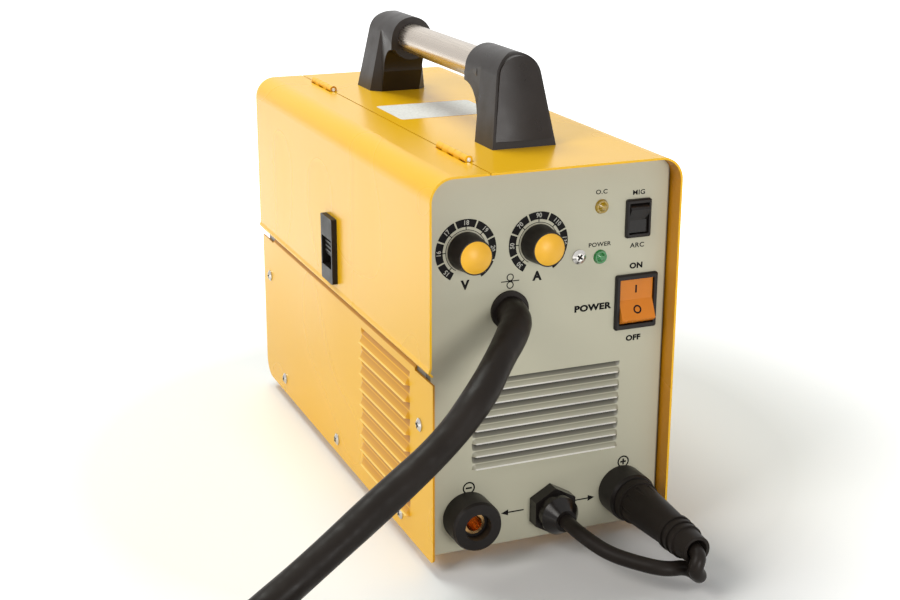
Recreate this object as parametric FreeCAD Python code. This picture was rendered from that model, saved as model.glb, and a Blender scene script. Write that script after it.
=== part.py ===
"""Compact MIG welding machine in a folded steel case, with its torch and polarity lead.

Row frame, in millimetres: X to the machine's right as seen from its front, Y from the front
panel towards the rear, Z up. The origin is on the surface that the feet stand on, under the
middle of the case.
"""

import FreeCAD, Part
import math
import os

Vec = FreeCAD.Vector
X_AXIS = Vec(1, 0, 0)
Y_AXIS = Vec(0, 1, 0)
Z_AXIS = Vec(0, 0, 1)

# Case
case_width = 144.0
case_depth = 318.0
case_height = 211.0
foot_height = 7.0
sheet = 1.2
corner_radius = 13.0
bend_radius = 2.4
panel_recess = 10.0
return_depth = 15.0
fit_gap = 0.4
part_gap = 0.6

# Base tray, feet and screws
tray_flange = 16.0
foot_radius = 10.0
foot_low_radius = 8.5
foot_x = case_width / 2 - 22.0
foot_y = case_depth / 2 - 34.0
screw_shank_radius = 1.9
screw_head_radius = 3.7
screw_head_height = 1.7
screw_length = 6.0
panel_screw_head_radius = 4.0
side_screw_spots = [
    (case_depth / 2 - 15.6, case_height - 134.7),
    (case_depth / 2 - 45.3, 10.5),
    (1.1, 9.6),
    (47.8 - case_depth / 2, 9.5),
    (18.4 - case_depth / 2, case_height - 137.3),
]

# Rear panel
grille_bar = 2.2
mains_gland_place = (case_width / 2 - 28.0, case_height - 46.0)
gas_inlet_place = (26.0 - case_width / 2, case_height - 138.0)
gas_neck_radius = 6.0
gas_barb_radius = 4.0
gas_barb_length = 14.0

# Door and lower side panel
seam_x = 33.0 - case_width / 2
seam_gap = 0.8
door_edge_height = 106.4
band_height = 5.0
band_bulge = 0.9
side_inset = 1.6
lip_shift = 2.4
lip_height = 8.0
lower_panel_height = 103.2
rear_corner_radius = 12.0
front_corner_radius = 3.0

# Door hinges
hinge_length = 40.0
hinge_y = case_depth / 2 - 48.0
knuckle_radius = 2.2
knuckle_count = 5
knuckle_gap = 0.25
hinge_rise = 1.2
hinge_pin_radius = 1.1
running_gap = 0.05
leaf_thickness = 1.0
leaf_width = 15.0

# Latch
latch_y = -0.6
latch_centre_height = door_edge_height + 27.6
latch_width = 20.6
latch_height = 40.0
latch_stand = 3.4
latch_window_width = 17.4
latch_window_height = 18.0
latch_window_drop = 2.0
latch_wall = 1.2
latch_gap = 0.2
latch_travel = 6.0
latch_plate = 1.6
latch_reach = 4.0

# Handle
handle_x = 74.6 - case_width / 2
handle_y = 109.5
handle_base_half = 18.8
handle_head_radius = 13.3
handle_axis_height = 36.2
handle_leg_depth = 30.0
handle_lean = 9.5
handle_boss_reach = 51.0
handle_arch_radius = 16.0
handle_bulge = 2.0
handle_rim = 1.5
handle_chamfer = 6.0
tube_radius = 9.0
tube_wall = 1.5
tube_insertion = 14.0
handle_screw_offset = 7.0
handle_screw_radius = 2.0
handle_screw_head_radius = 3.4
handle_screw_head_height = 2.4

# Front panel layout, as X and height above the case's bottom
bay_partition_x = 62.0 - case_width / 2
voltage_knob_place = (24.0 - case_width / 2, case_height - 42.0)
current_knob_place = (-7.0, case_height - 42.0)
torch_place = (bay_partition_x - 13.3, case_height - 76.5)
overcurrent_lamp_place = (case_width / 2 - 42.5, case_height - 25.8)
power_lamp_place = (case_width / 2 - 42.5, case_height - 53.3)
panel_screw_place = (16.8, case_height - 52.0)
power_switch_place = (case_width / 2 - 20.2, case_height - 80.4)
mode_switch_place = (case_width / 2 - 20.7, case_height - 34.0)
negative_place = (25.5 - case_width / 2, 20.0)
positive_place = (case_width / 2 - 24.5, 20.0)
polarity_gland_place = (3.0, 17.0)

# Louvres
front_louvre_count = 7
front_louvre_length = 88.0
front_louvre_pitch = 7.4
front_louvre_depth = 2.2
front_louvre_top = case_height / 2 - 8.4
side_louvre_count = 9
side_louvre_length = 79.0
side_louvre_pitch = 9.6
side_louvre_depth = 2.6
side_louvre_top = lower_panel_height - 4.6
side_louvre_y = 72.5 - case_depth / 2
louvre_recess = 2.2
louvre_lap = 1.2
louvre_gap = 0.4
louvre_lip = 0.9
louvre_lip_height = 0.6
louvre_end = 2.4

# Knobs and potentiometers
knob_radius = 10.4
knob_nose_radius = 9.2
knob_cap_radius = 8.5
knob_length = 16.0
knob_stand = 0.8
knob_cap_height = 2.6
shaft_radius = 3.0
bushing_radius = 3.5
pot_body_radius = 8.0
pot_body_depth = 10.0
pot_nut_height = 2.0
pot_nut_flats = 10.0

# Rocker switches
power_bezel = (25.4, 31.0)
mode_bezel = (15.0, 21.0)
power_bezel_rim = (2.3, 2.7)
mode_bezel_rim = (1.6, 2.0)
bezel_stand = 2.2
rocker_tilt = 12.5
rocker_pivot_depth = 4.0
rocker_side_gap = 0.3
rocker_end_gap = 0.4
switch_wall = 1.0
switch_depth = 20.0
rocker_pin_radius = 1.2
rocker_pin_length = 0.8
rocker_skirt = 2.5
rocker_hub_radius = 3.0
rocker_rim_back = 0.3
rocker_pressed_stand = 0.6
bezel_straight = 1.4
bezel_taper = 0.7
bezel_corner = 1.2

# Lamps
lamp_bezel_radius = 4.0
lamp_radius = 2.5
lamp_neck_radius = 3.2

# Output sockets and the polarity lead's plug
socket_flange_radius = 14.0
socket_stand = 16.0
socket_mouth_radius = 7.5
socket_mouth_depth = 6.0
socket_neck_radius = 9.0
socket_nut_radius = 12.0
socket_nut_height = 6.0
contact_outer_radius = 6.0
contact_bore_radius = 4.5
contact_bore_depth = 22.0
contact_length = 34.0
stud_radius = 4.0
stud_length = 14.0
plug_pin_radius = 4.45
plug_collar_radius = 12.5
plug_collar_length = 5.0
plug_grip_radius = 11.6
plug_waist_radius = 9.4
plug_grip_length = 36.0
plug_rib_count = 3
plug_rib_pitch = 5.0
plug_rib_depth = 0.9
plug_end_radius = 7.6
plug_length = 66.0
plug_bore_radius = 4.3
plug_mouth_radius = 5.9
plug_mouth_depth = 5.0
plug_cable_depth = 6.0
plug_flute_count = 10
plug_flute_depth = 0.7

# Cable glands
gland_flats = 24.0
gland_hex_length = 8.0
gland_dome_radius = 11.0
gland_dome_length = 13.0
gland_neck_radius = 8.0
gland_nut_height = 5.0

# Leads
torch_lead_diameter = 16.0
polarity_lead_diameter = 8.0
grommet_radius = 10.6
grommet_flange = 2.0
grommet_groove_radius = 9.6

# Put-away coil of the torch lead
coil_x = -185.0
coil_y = -359.7
coil_outer_radius = 96.8
coil_pitch = 16.8
coil_layer_height = 16.6
coil_entry_angle = 145.0
coil_exit_angle = 275.0
coil_upper_half_turns = 3
coil_lower_half_turns = 2
coil_inner_radius = 64.0
coil_ground_gap = 0.05

# Wire bay
bay_shelf_height = case_height - 111.0

# Wire spool
spool_radius = 50.0
spool_width = 44.0
spool_flange = 3.0
spool_barrel_radius = 24.0
spool_bore_radius = 8.05
spool_winding_radius = 43.0
spool_y = case_depth / 2 - 75.0
spool_outer_x = 10.0 - case_width / 2
spool_window_count = 6
spindle_radius = 8.0
spindle_collar_radius = 15.0
spool_nut_radius = 12.0
spool_nut_height = 4.0
spool_side_gap = 0.3
spool_floor_gap = 2.2

# Wire feeder
feed_roll_radius = 15.0
feed_roll_width = 10.0
feed_groove_depth = 0.5
feed_nip = 1.4
feed_roll_y = 67.0 - case_depth / 2
pressure_roll_radius = 11.0
pressure_roll_width = 8.0
feed_plate_thickness = 4.0
feed_plate_front = feed_roll_y - 36.0
feed_plate_rear = feed_roll_y + 44.0
feed_plate_drop = 29.5
feed_plate_rise = 36.5
feed_shaft_radius = 4.0
arm_pivot_y = feed_roll_y - 27.0
arm_pivot_rise = 17.0
arm_pin_radius = 3.0
arm_width = 16.0
arm_thickness = 12.0
arm_end_y = feed_roll_y + 32.5
tension_pivot_y = feed_roll_y + 29.0
tension_pivot_drop = 14.0
tension_bolt_radius = 2.5
tension_knob_radius = 8.0
tension_knob_height = 12.0
tension_release_angle = 60.0
tension_offset = 8.0
tension_pin_radius = 2.0
tension_eye_width = 6.0
tension_gap = 1.0
tension_slot_gap = 1.4
tension_slot_reach = 8.0
tension_tab_wall = 3.0
tension_washer_height = 1.2
axle_radius = 2.5
guide_bore_radius = 1.0
guide_wall = 1.2
guide_foot_length = 8.0
guide_foot_height = 8.0
guide_foot_side = 3.0
outlet_length = 6.0
outlet_block_side = 7.0
outlet_block_drop = 8.0
outlet_block_rise = 7.0
motor_radius = 17.0
motor_hub_height = 2.5
motor_end_gap = 13.1
gearbox_size = (18.0, 38.0, 38.0)

# Power electronics in the lower bay
heatsink_width = 40.0
heatsink_depth = 120.0
heatsink_height = 50.0
heatsink_base = 6.0
heatsink_fin = 2.0
heatsink_fin_count = 7
heatsink_gap = 20.0
heatsink_y = case_depth / 2 - 119.0
heatsink_leg = 12.0
board_thickness = 1.6
board_gap = 5.0
power_board_width = case_width - 32.0
capacitor_radius = 12.5
capacitor_height = 45.0
capacitor_pitch = 32.0
capacitor_x = case_width / 2 - 34.0
core_size = (56.0, 50.0, 52.0)
core_y = heatsink_y - 108.0
core_window = 12.0
winding_wall = 9.0
choke_x = case_width / 2 - 21.0
choke_radius = 12.0
choke_wire_radius = 6.0
control_board_left = 12.0 - case_width / 2
control_board_right = case_width / 2 - 34.0
control_board_height = 44.0
control_board_low = case_height - 51.0
valve_size = (22.0, 34.0, 22.0)
valve_coil_radius = 9.0
valve_coil_height = 18.0

# Fan
fan_size = 80.0
fan_depth = 25.0
fan_duct_radius = 38.0
fan_hub_radius = 16.0
fan_axle_radius = 2.0
fan_blade_radius = 36.5
fan_blade_count = 7
fan_blade_pitch = 38.0
fan_blade_thickness = 1.6
fan_place = (14.0, 53.0)
fan_screw_pitch = 71.5
fan_screw_hole_radius = 2.15

# Torch, lying on its side beside the coil
torch_axis_height = 15.0
tail_first_run = 14.0
tail_second_run = 18.0
boot_length = 38.0
boot_radius = 12.0
boot_tail_radius = 9.6
boot_rib_count = 4
torch_handle_length = 100.0
torch_handle_thickness = 30.0
torch_handle_width = 34.0
torch_handle_end = 26.0
torch_neck_radius = 7.5
torch_neck_straight = 12.0
torch_neck_bend = 28.0
torch_neck_angle = 50.0
torch_neck_nose = 10.0
neck_collar_radius = 8.3
neck_collar_length = 14.0
nozzle_length = 46.0
nozzle_radius = 9.6
nozzle_tip_radius = 7.6
nozzle_wall = 1.3
contact_tip_radius = 3.4
contact_tip_recess = 2.0
diffuser_radius = 5.0
diffuser_length = 12.0
trigger_start = 58.0
trigger_length = 32.0
trigger_width = 12.0
trigger_pocket = 9.0
trigger_stand = 4.0
trigger_pin_radius = 1.5

# Places worked out from the driving dimensions
left = -case_width / 2
right = case_width / 2
front = -case_depth / 2
rear = case_depth / 2
bottom = foot_height
top = foot_height + case_height
panel_face = front + panel_recess
panel_back = panel_face + sheet
inner_top = top - sheet
inner_right = right - sheet
lower_side_x = left + side_inset
inner_left = lower_side_x + sheet
hinge_z = top + hinge_rise
door_edge_z = bottom + door_edge_height
lower_panel_z = bottom + lower_panel_height
latch_z = bottom + latch_centre_height
latch_window_z = latch_z - latch_window_drop
bay_shelf_z = bottom + bay_shelf_height


def box(x0, x1, y0, y1, z0, z1):
    """A box between two corners."""
    return Part.makeBox(x1 - x0, y1 - y0, z1 - z0, Vec(x0, y0, z0))


def rod(radius, start, axis, length):
    """A round bar from a point along an axis."""
    return Part.makeCylinder(radius, length, start, axis)


def cone(radius_a, radius_b, start, axis, length):
    """A tapered round bar from a point along an axis."""
    if abs(radius_a - radius_b) < 1e-6:
        return rod(radius_a, start, axis, length)
    return Part.makeCone(radius_a, radius_b, length, start, axis)


def fused(shapes):
    """One solid from touching or overlapping shapes."""
    first = shapes[0]
    if len(shapes) > 1:
        first = first.fuse(shapes[1:])
    return first.removeSplitter()


def group(shapes):
    """Separate solids that share one node."""
    return Part.makeCompound(shapes)


def rounded_wire(points, radii):
    """A closed outline through the points, with each corner rounded by its own radius."""
    edges = []
    starts = []
    ends = []
    middles = []
    count = len(points)
    for index in range(count):
        corner = points[index]
        radius = radii[index]
        to_last = (points[index - 1] - corner).normalize()
        to_next = (points[(index + 1) % count] - corner).normalize()
        if radius <= 0:
            starts.append(corner)
            ends.append(corner)
            middles.append(None)
            continue
        half = to_last.getAngle(to_next) / 2
        cut = radius / math.tan(half)
        inward = (to_last + to_next).normalize()
        starts.append(corner + to_last * cut)
        ends.append(corner + to_next * cut)
        middles.append(corner + inward * (radius / math.sin(half) - radius))
    for index in range(count):
        if middles[index] is not None:
            edges.append(Part.Arc(starts[index], middles[index], ends[index]).toShape())
        following = starts[(index + 1) % count]
        if (following - ends[index]).Length > 1e-6:
            edges.append(Part.LineSegment(ends[index], following).toShape())
    return Part.Wire(edges)


def prism(points, direction, radii=None):
    """A flat outline pushed along a direction."""
    corners = radii or [0] * len(points)
    return Part.Face(rounded_wire(points, corners)).extrude(direction)


def folded_sheet(points, radii, thickness, normal, direction):
    """Sheet metal folded along a path. It lies on the path's left, seen against the normal."""
    count = len(points)
    steps = [(points[i + 1] - points[i]).normalize() for i in range(count - 1)]
    inner = []
    inner_radii = []
    for index in range(count):
        before = steps[max(index - 1, 0)]
        after = steps[min(index, count - 2)]
        shift = normal.cross(before) + normal.cross(after)
        inner.append(points[index] + shift * (thickness / (1 + before.dot(after))))
        turn = normal.dot(before.cross(after))
        radius = radii[index]
        if radius > 0:
            radius = radius - thickness if turn > 0 else radius + thickness
        inner_radii.append(max(radius, 0))
    outline = points + inner[::-1]
    return prism(outline, direction, radii + inner_radii[::-1])


def at_xz(points, y):
    return [Vec(x, y, z) for x, z in points]


def at_yz(points, x):
    return [Vec(x, y, z) for y, z in points]


def at_xy(points, z):
    return [Vec(x, y, z) for x, y in points]


def rounded_block(width, height, radius, centre_x, centre_z, y, depth):
    """A block with rounded upright corners, lying along Y."""
    half_w = width / 2
    half_h = height / 2
    corners = [(-half_w, -half_h), (half_w, -half_h), (half_w, half_h), (-half_w, half_h)]
    points = at_xz([(centre_x + x, centre_z + z) for x, z in corners], y)
    return prism(points, Y_AXIS * depth, [radius] * 4)


def hexagon(flats, centre, axis_length, y_start):
    """A hexagonal bar along Y, with a point at its top."""
    reach = flats / math.sqrt(3)
    points = []
    for side in range(6):
        angle = math.radians(90 + 60 * side)
        points.append((centre[0] + reach * math.cos(angle), centre[1] + reach * math.sin(angle)))
    return prism(at_xz(points, y_start), Y_AXIS * axis_length)


def place(spot):
    """A front panel place as X and Z in the row frame."""
    return (spot[0], spot[1] + bottom)


def turned(shape, degrees, centre, axis):
    """A copy of the shape turned about an axis through a point."""
    copy = shape.copy()
    copy.rotate(centre, axis, degrees)
    return copy


def moved(shape, x, y, z):
    copy = shape.copy()
    copy.translate(Vec(x, y, z))
    return copy


# Louvres


def louvre_blade(length, height, depth):
    """One pressed blade. Its top lies behind the sheet, its lip before it, and both ends run into it."""
    high = -louvre_gap / 2
    low = louvre_gap / 2 - height
    front_line = [(louvre_recess, high), (louvre_lip - depth, low + louvre_lip_height), (-depth, low)]
    tilted = front_line + [(y + sheet, z) for y, z in reversed(front_line)]
    flat = [(0, z) for _, z in front_line] + [(sheet, z) for _, z in reversed(front_line)]
    half = length / 2
    shoulder = half - louvre_end
    pieces = [prism(at_yz(tilted, -shoulder), X_AXIS * (2 * shoulder))]
    for side in (-1, 1):
        outlines = [
            rounded_wire(at_yz(tilted, side * shoulder), [0] * 6),
            rounded_wire(at_yz(flat, side * half), [0] * 6),
        ]
        pieces.append(Part.makeLoft(outlines, True, True))
    return fused(pieces)


def with_louvres(panel, length, depth, count, pitch, start, facing):
    """Presses a column of louvres into a panel below a point. facing is their turn about Z."""
    opening = box(-length / 2, length / 2, -1, sheet + 1, louvre_lap - pitch * count, 0)
    blade = louvre_blade(length, pitch, depth)
    pressed = [opening] + [moved(blade, 0, 0, louvre_lap - pitch * index) for index in range(count)]
    placed = [moved(turned(shape, facing, Vec(0, 0, 0), Z_AXIS), *start) for shape in pressed]
    return panel.cut(placed[0]).fuse(placed[1:])


def front_louvre_room():
    """The space behind the front louvres, which no inner piece may take."""
    half = front_louvre_length / 2 + part_gap
    back = panel_face + louvre_recess + sheet + part_gap
    low = bottom + front_louvre_top - front_louvre_pitch * front_louvre_count
    high = bottom + front_louvre_top + louvre_lap
    return box(-half, half, panel_face, back, low, high)


# Case


def channel_panel():
    """The front panel's blank: a face with two folded returns and rounded upper corners."""
    back = panel_face + return_depth
    path = [(inner_left, back), (inner_left, panel_face), (inner_right, panel_face), (inner_right, back)]
    high = inner_top - part_gap
    blank = folded_sheet(
        at_xy(path, bottom), [0, bend_radius, bend_radius, 0], sheet, Z_AXIS, Z_AXIS * (high - bottom)
    )
    outline = [(inner_left, bottom), (inner_right, bottom), (inner_right, high), (inner_left, high)]
    radius = corner_radius - sheet - part_gap
    trimmed = blank.common(prism(at_xz(outline, panel_face), Y_AXIS * return_depth, [0, 0, radius, radius]))
    under_returns = box(inner_left, inner_right, panel_back, back, bottom, bottom + sheet)
    flange = box(
        seam_x + leaf_width + 2 * knuckle_radius, inner_right - corner_radius, panel_back, back,
        inner_top - sheet, inner_top,
    )
    return fused([trimmed.cut(under_returns), flange])


def front_panel():
    panel = channel_panel()
    start = Vec(0, panel_face, bottom + front_louvre_top)
    panel = with_louvres(
        panel, front_louvre_length, front_louvre_depth, front_louvre_count, front_louvre_pitch, start, 0
    )
    holes = []
    round_holes = [
        (voltage_knob_place, bushing_radius + part_gap / 2),
        (current_knob_place, bushing_radius + part_gap / 2),
        (torch_place, grommet_groove_radius),
        (overcurrent_lamp_place, lamp_neck_radius),
        (power_lamp_place, lamp_neck_radius),
        (panel_screw_place, screw_shank_radius),
        (negative_place, socket_neck_radius),
        (positive_place, socket_neck_radius),
        (polarity_gland_place, gland_neck_radius),
    ]
    for spot, radius in round_holes:
        x, z = place(spot)
        holes.append(rod(radius, Vec(x, panel_face - 1, z), Y_AXIS, sheet + 2))
    for spot, bezel, rim in (
        (power_switch_place, power_bezel, power_bezel_rim), (mode_switch_place, mode_bezel, mode_bezel_rim)
    ):
        x, z = place(spot)
        width, height = switch_body_size(bezel, rim)
        holes.append(rounded_block(width, height, 0, x, z, panel_face - 1, sheet + 2))
    for x, y, z, _ in side_screws():
        if y < 0 and x < 0:
            holes.append(rod(screw_shank_radius, Vec(inner_left - 1, y, z), X_AXIS, sheet + 2))
            holes.append(rod(screw_shank_radius, Vec(inner_right + 1, y, z), -X_AXIS, sheet + 2))
    return panel.cut(holes)


def rear_panel():
    panel = channel_panel().mirror(Vec(0, 0, 0), Y_AXIS)
    inside = -panel_back
    cuts = []
    fan_x, fan_z = place(fan_place)
    ring_step = fan_duct_radius / 4
    for ring in range(1, 4):
        outer = ring_step * (ring + 0.82)
        hole = rod(outer, Vec(fan_x, inside - 1, fan_z), Y_AXIS, sheet + 2)
        hole = hole.cut(rod(ring_step * (ring + 0.14), Vec(fan_x, inside - 1, fan_z), Y_AXIS, sheet + 2))
        for spoke in range(2):
            bar = box(-fan_size / 2, fan_size / 2, inside - 2, inside + sheet + 2, -grille_bar, grille_bar)
            bar = turned(bar, 45 + 90 * spoke, Vec(0, 0, 0), Y_AXIS)
            hole = hole.cut(moved(bar, fan_x, 0, fan_z))
        cuts.append(hole)
    for dx in (-0.5, 0.5):
        for dz in (-0.5, 0.5):
            spot = Vec(fan_x + dx * fan_screw_pitch, inside - 1, fan_z + dz * fan_screw_pitch)
            cuts.append(rod(fan_screw_hole_radius, spot, Y_AXIS, sheet + 2))
    mains_x, mains_z = place(mains_gland_place)
    gas_x, gas_z = place(gas_inlet_place)
    cuts.append(rod(gland_neck_radius, Vec(mains_x, inside - 1, mains_z), Y_AXIS, sheet + 2))
    cuts.append(rod(gas_neck_radius, Vec(gas_x, inside - 1, gas_z), Y_AXIS, sheet + 2))
    for x, y, z, _ in side_screws():
        if y > 0 and x < 0:
            cuts.append(rod(screw_shank_radius, Vec(inner_left - 1, y, z), X_AXIS, sheet + 2))
            cuts.append(rod(screw_shank_radius, Vec(inner_right + 1, y, z), -X_AXIS, sheet + 2))
    return panel.cut(cuts)


def base_tray():
    """Floor of the case with two folded side flanges."""
    high = bottom + tray_flange
    path = [(inner_left, high), (inner_left, bottom), (inner_right, bottom), (inner_right, high)]
    length = -2 * panel_back
    radii = [0, bend_radius, bend_radius, 0]
    tray = folded_sheet(at_xz(path, -panel_back), radii, sheet, -Y_AXIS, -Y_AXIS * length)
    cuts = []
    flange_end = -(panel_face + return_depth)
    for y0, y1 in ((panel_back, -flange_end), (flange_end, -panel_back)):
        cuts.append(box(left, right, y0, y1, bottom + sheet, high + 1))
    for x, y in foot_places():
        cuts.append(rod(screw_shank_radius, Vec(x, y, bottom - 1), Z_AXIS, sheet + 2))
    for x, y, z, _ in side_screws():
        if abs(y) < flange_end:
            side = inner_left - 1 if x < 0 else inner_right - sheet - 1
            cuts.append(rod(screw_shank_radius, Vec(side, y, z), X_AXIS, sheet + 2))
    return tray.cut(cuts)


def side_outline(high, depth_x, x):
    """The shape of a side seen from the left: rounded lower corners, square upper ones."""
    points = at_yz([(front, bottom), (rear, bottom), (rear, high), (front, high)], x)
    return prism(points, X_AXIS * depth_x, [front_corner_radius, rear_corner_radius, 0, 0])


def lower_side_panel():
    """Fixed lower half of the left side. Its upper edge is stepped inwards behind the door."""
    lip_x = lower_side_x + lip_shift
    step = lower_panel_z + lip_shift
    path = [
        (lower_side_x, bottom), (lower_side_x, lower_panel_z), (lip_x, step),
        (lip_x, lower_panel_z + lip_shift + lip_height),
    ]
    points = at_xz(path, front)
    panel = folded_sheet(
        points, [0, bend_radius / 2, bend_radius / 2, 0], sheet, Y_AXIS, Y_AXIS * case_depth
    )
    panel = panel.common(side_outline(top, case_width, lower_side_x - 1))
    lip_end = panel_face + return_depth + part_gap
    cuts = []
    for y0, y1 in ((front, lip_end), (-lip_end, rear)):
        cuts.append(box(lower_side_x - 1, lip_x + sheet + 1, y0, y1, lower_panel_z - bend_radius / 2, top))
    for x, y, z, _ in side_screws():
        if x < 0:
            cuts.append(rod(screw_shank_radius, Vec(lower_side_x - 1, y, z), X_AXIS, sheet + 2))
    start = Vec(lower_side_x, side_louvre_y, bottom + side_louvre_top)
    panel = with_louvres(
        panel, side_louvre_length, side_louvre_depth, side_louvre_count, side_louvre_pitch, start, -90
    )
    return panel.cut(cuts)


def right_cover():
    """Top and right side in one folded sheet, with the fixed hinge leaves under its edge."""
    path = [(seam_x + seam_gap / 2, top), (right, top), (right, bottom)]
    cover = folded_sheet(at_xz(path, front), [0, corner_radius, 0], sheet, Y_AXIS, Y_AXIS * case_depth)
    cover = cover.common(side_outline(top, case_width, left))
    cuts = []
    for x, y, z, _ in side_screws():
        if x > 0:
            cuts.append(rod(screw_shank_radius, Vec(right + 1, y, z), -X_AXIS, sheet + 2))
    for x, y in handle_screw_places():
        cuts.append(rod(handle_screw_radius, Vec(x, y, inner_top - 1), Z_AXIS, sheet + 2))
    start = Vec(right, side_louvre_y, bottom + side_louvre_top)
    cover = with_louvres(
        cover, side_louvre_length, side_louvre_depth, side_louvre_count, side_louvre_pitch, start, 90
    )
    cover = cover.cut(cuts + seam_notches(1))
    return fused([cover] + hinge_leaves(1))


def door():
    """Left of the top and upper left side, which opens about the seam, with its hinge leaves."""
    band_top = door_edge_z + band_height
    path = [
        (seam_x - seam_gap / 2, top),
        (left, top),
        (left, band_top),
        (left - band_bulge, door_edge_z + band_height / 2),
        (lower_side_x - fit_gap, door_edge_z),
    ]
    radii = [0, corner_radius, bend_radius / 2, bend_radius / 2, 0]
    panel = folded_sheet(at_xz(path, front), radii, sheet, -Y_AXIS, Y_AXIS * case_depth)
    cutout = latch_window(left - 2, left + sheet + 2, latch_wall + latch_gap)
    panel = panel.cut([cutout] + seam_notches(-1))
    return fused([panel] + hinge_leaves(-1))


# Hinges


def seam_notches(side):
    """Clearance in the sheet's edge for the knuckles. side is 1 on the cover, -1 on the door."""
    reach = knuckle_radius + part_gap
    notches = []
    for y in (-hinge_y, hinge_y):
        low = min(seam_x, seam_x + side * reach)
        high = max(seam_x, seam_x + side * reach)
        half = hinge_length / 2 + part_gap
        notches.append(box(low, high, y - half, y + half, inner_top - 1, top + 1))
    return notches


def knuckle_spans(y, side):
    """The stretches of knuckle that one leaf carries: the odd ones or the even ones."""
    pitch = hinge_length / knuckle_count
    first = 0 if side > 0 else 1
    spans = []
    for index in range(first, knuckle_count, 2):
        start = y - hinge_length / 2 + index * pitch
        spans.append((start + knuckle_gap / 2, start + pitch - knuckle_gap / 2))
    return spans


def hinge_leaves(side):
    """A leaf under the sheet with its knuckles standing in the seam, for both hinges."""
    leaves = []
    inner = seam_x + side * (knuckle_radius - leaf_thickness)
    outer = seam_x + side * knuckle_radius
    for y in (-hinge_y, hinge_y):
        half = hinge_length / 2
        far = seam_x + side * (leaf_width + knuckle_radius)
        plate = box(
            min(inner, far), max(inner, far), y - half, y + half, inner_top - leaf_thickness, inner_top
        )
        pieces = [plate]
        for y0, y1 in knuckle_spans(y, side):
            riser = box(min(inner, outer), max(inner, outer), y0, y1, inner_top - leaf_thickness, hinge_z)
            barrel = rod(knuckle_radius, Vec(seam_x, y0, hinge_z), Y_AXIS, y1 - y0)
            pieces.append(riser)
            pieces.append(barrel)
        bore = rod(
            hinge_pin_radius + running_gap, Vec(seam_x, y - half - 1, hinge_z), Y_AXIS, hinge_length + 2
        )
        slots = [
            box(
                seam_x - leaf_width, seam_x + leaf_width, y0 - knuckle_gap / 2, y1 + knuckle_gap / 2,
                inner_top, hinge_z,
            )
            for y0, y1 in knuckle_spans(y, -side)
        ]
        leaves.append(fused(pieces).cut([bore] + slots))
    return leaves


def hinge_pins():
    pins = []
    for y in (-hinge_y, hinge_y):
        start = Vec(seam_x, y - hinge_length / 2, hinge_z)
        pins.append(rod(hinge_pin_radius, start, Y_AXIS, hinge_length))
    return group(pins)


# Latch


def latch_window(x0, x1, grow):
    """The latch's opening between two planes, made larger all round."""
    half_w = latch_window_width / 2 + grow
    half_h = latch_window_height / 2 + grow
    return box(x0, x1, latch_y - half_w, latch_y + half_w, latch_window_z - half_h, latch_window_z + half_h)


def latch_base():
    """Plastic frame round a pull recess, clipped through the door."""
    half_w = latch_width / 2
    half_h = latch_height / 2
    plate = [(-half_w, -half_h), (half_w, -half_h), (half_w, half_h), (-half_w, half_h)]
    points = at_yz([(latch_y + y, latch_z + z) for y, z in plate], left - latch_stand)
    face = prism(points, X_AXIS * latch_stand, [latch_wall] * 4)
    collar = latch_window(left, left + sheet + fit_gap, latch_wall)
    return fused([face, collar]).cut(latch_window(left - latch_stand - 1, left + sheet + 2, 0))


def tongue_place():
    """Near and far X of the latch's tongue, half its width and its lower end at rest."""
    tongue_x = lower_side_x + lip_shift + sheet + fit_gap
    lip_top = lower_panel_z + lip_shift + lip_height
    return tongue_x, tongue_x + latch_plate, latch_window_width / 4, lip_top + latch_travel - latch_reach


def tongue_room():
    """The space that the tongue needs above its lowest place, which no other piece may take."""
    near_x, far_x, half, low = tongue_place()
    return box(
        near_x - part_gap, far_x + part_gap, latch_y - half - part_gap, latch_y + half + part_gap,
        low - latch_travel - part_gap, top,
    )


def latch_slider():
    """Ribbed grip in the recess, its plate behind the door and the tongue that passes the lip."""
    plate_x = left + sheet + fit_gap + part_gap / 2
    grip_top = latch_window_z + latch_window_height / 2 - fit_gap
    grip_low = grip_top - (latch_window_height - latch_travel - 2 * fit_gap)
    half = latch_window_width / 2 - fit_gap
    face_x = left - latch_stand / 3
    grip = box(face_x, plate_x, latch_y - half, latch_y + half, grip_low, grip_top)
    ribs = []
    for index in range(3):
        z = grip_low + (grip_top - grip_low) * (0.25 + 0.25 * index)
        ribs.append(box(face_x - 0.8, face_x, latch_y - half + 2, latch_y + half - 2, z - 0.5, z + 0.5))
    overlap = 3 * latch_wall
    back_x = plate_x + latch_plate
    plate = box(
        plate_x, back_x, latch_y - half - overlap, latch_y + half + overlap, grip_low - 1,
        grip_top + overlap,
    )
    tongue_x, far_x, half_tongue, tongue_low = tongue_place()
    shelf_z = grip_low + 2
    bridge = box(plate_x, far_x, latch_y - half_tongue, latch_y + half_tongue, shelf_z, shelf_z + 3)
    tongue = box(tongue_x, far_x, latch_y - half_tongue, latch_y + half_tongue, tongue_low, shelf_z + 3)
    return fused([grip, plate, bridge, tongue] + ribs)


# Handle


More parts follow.
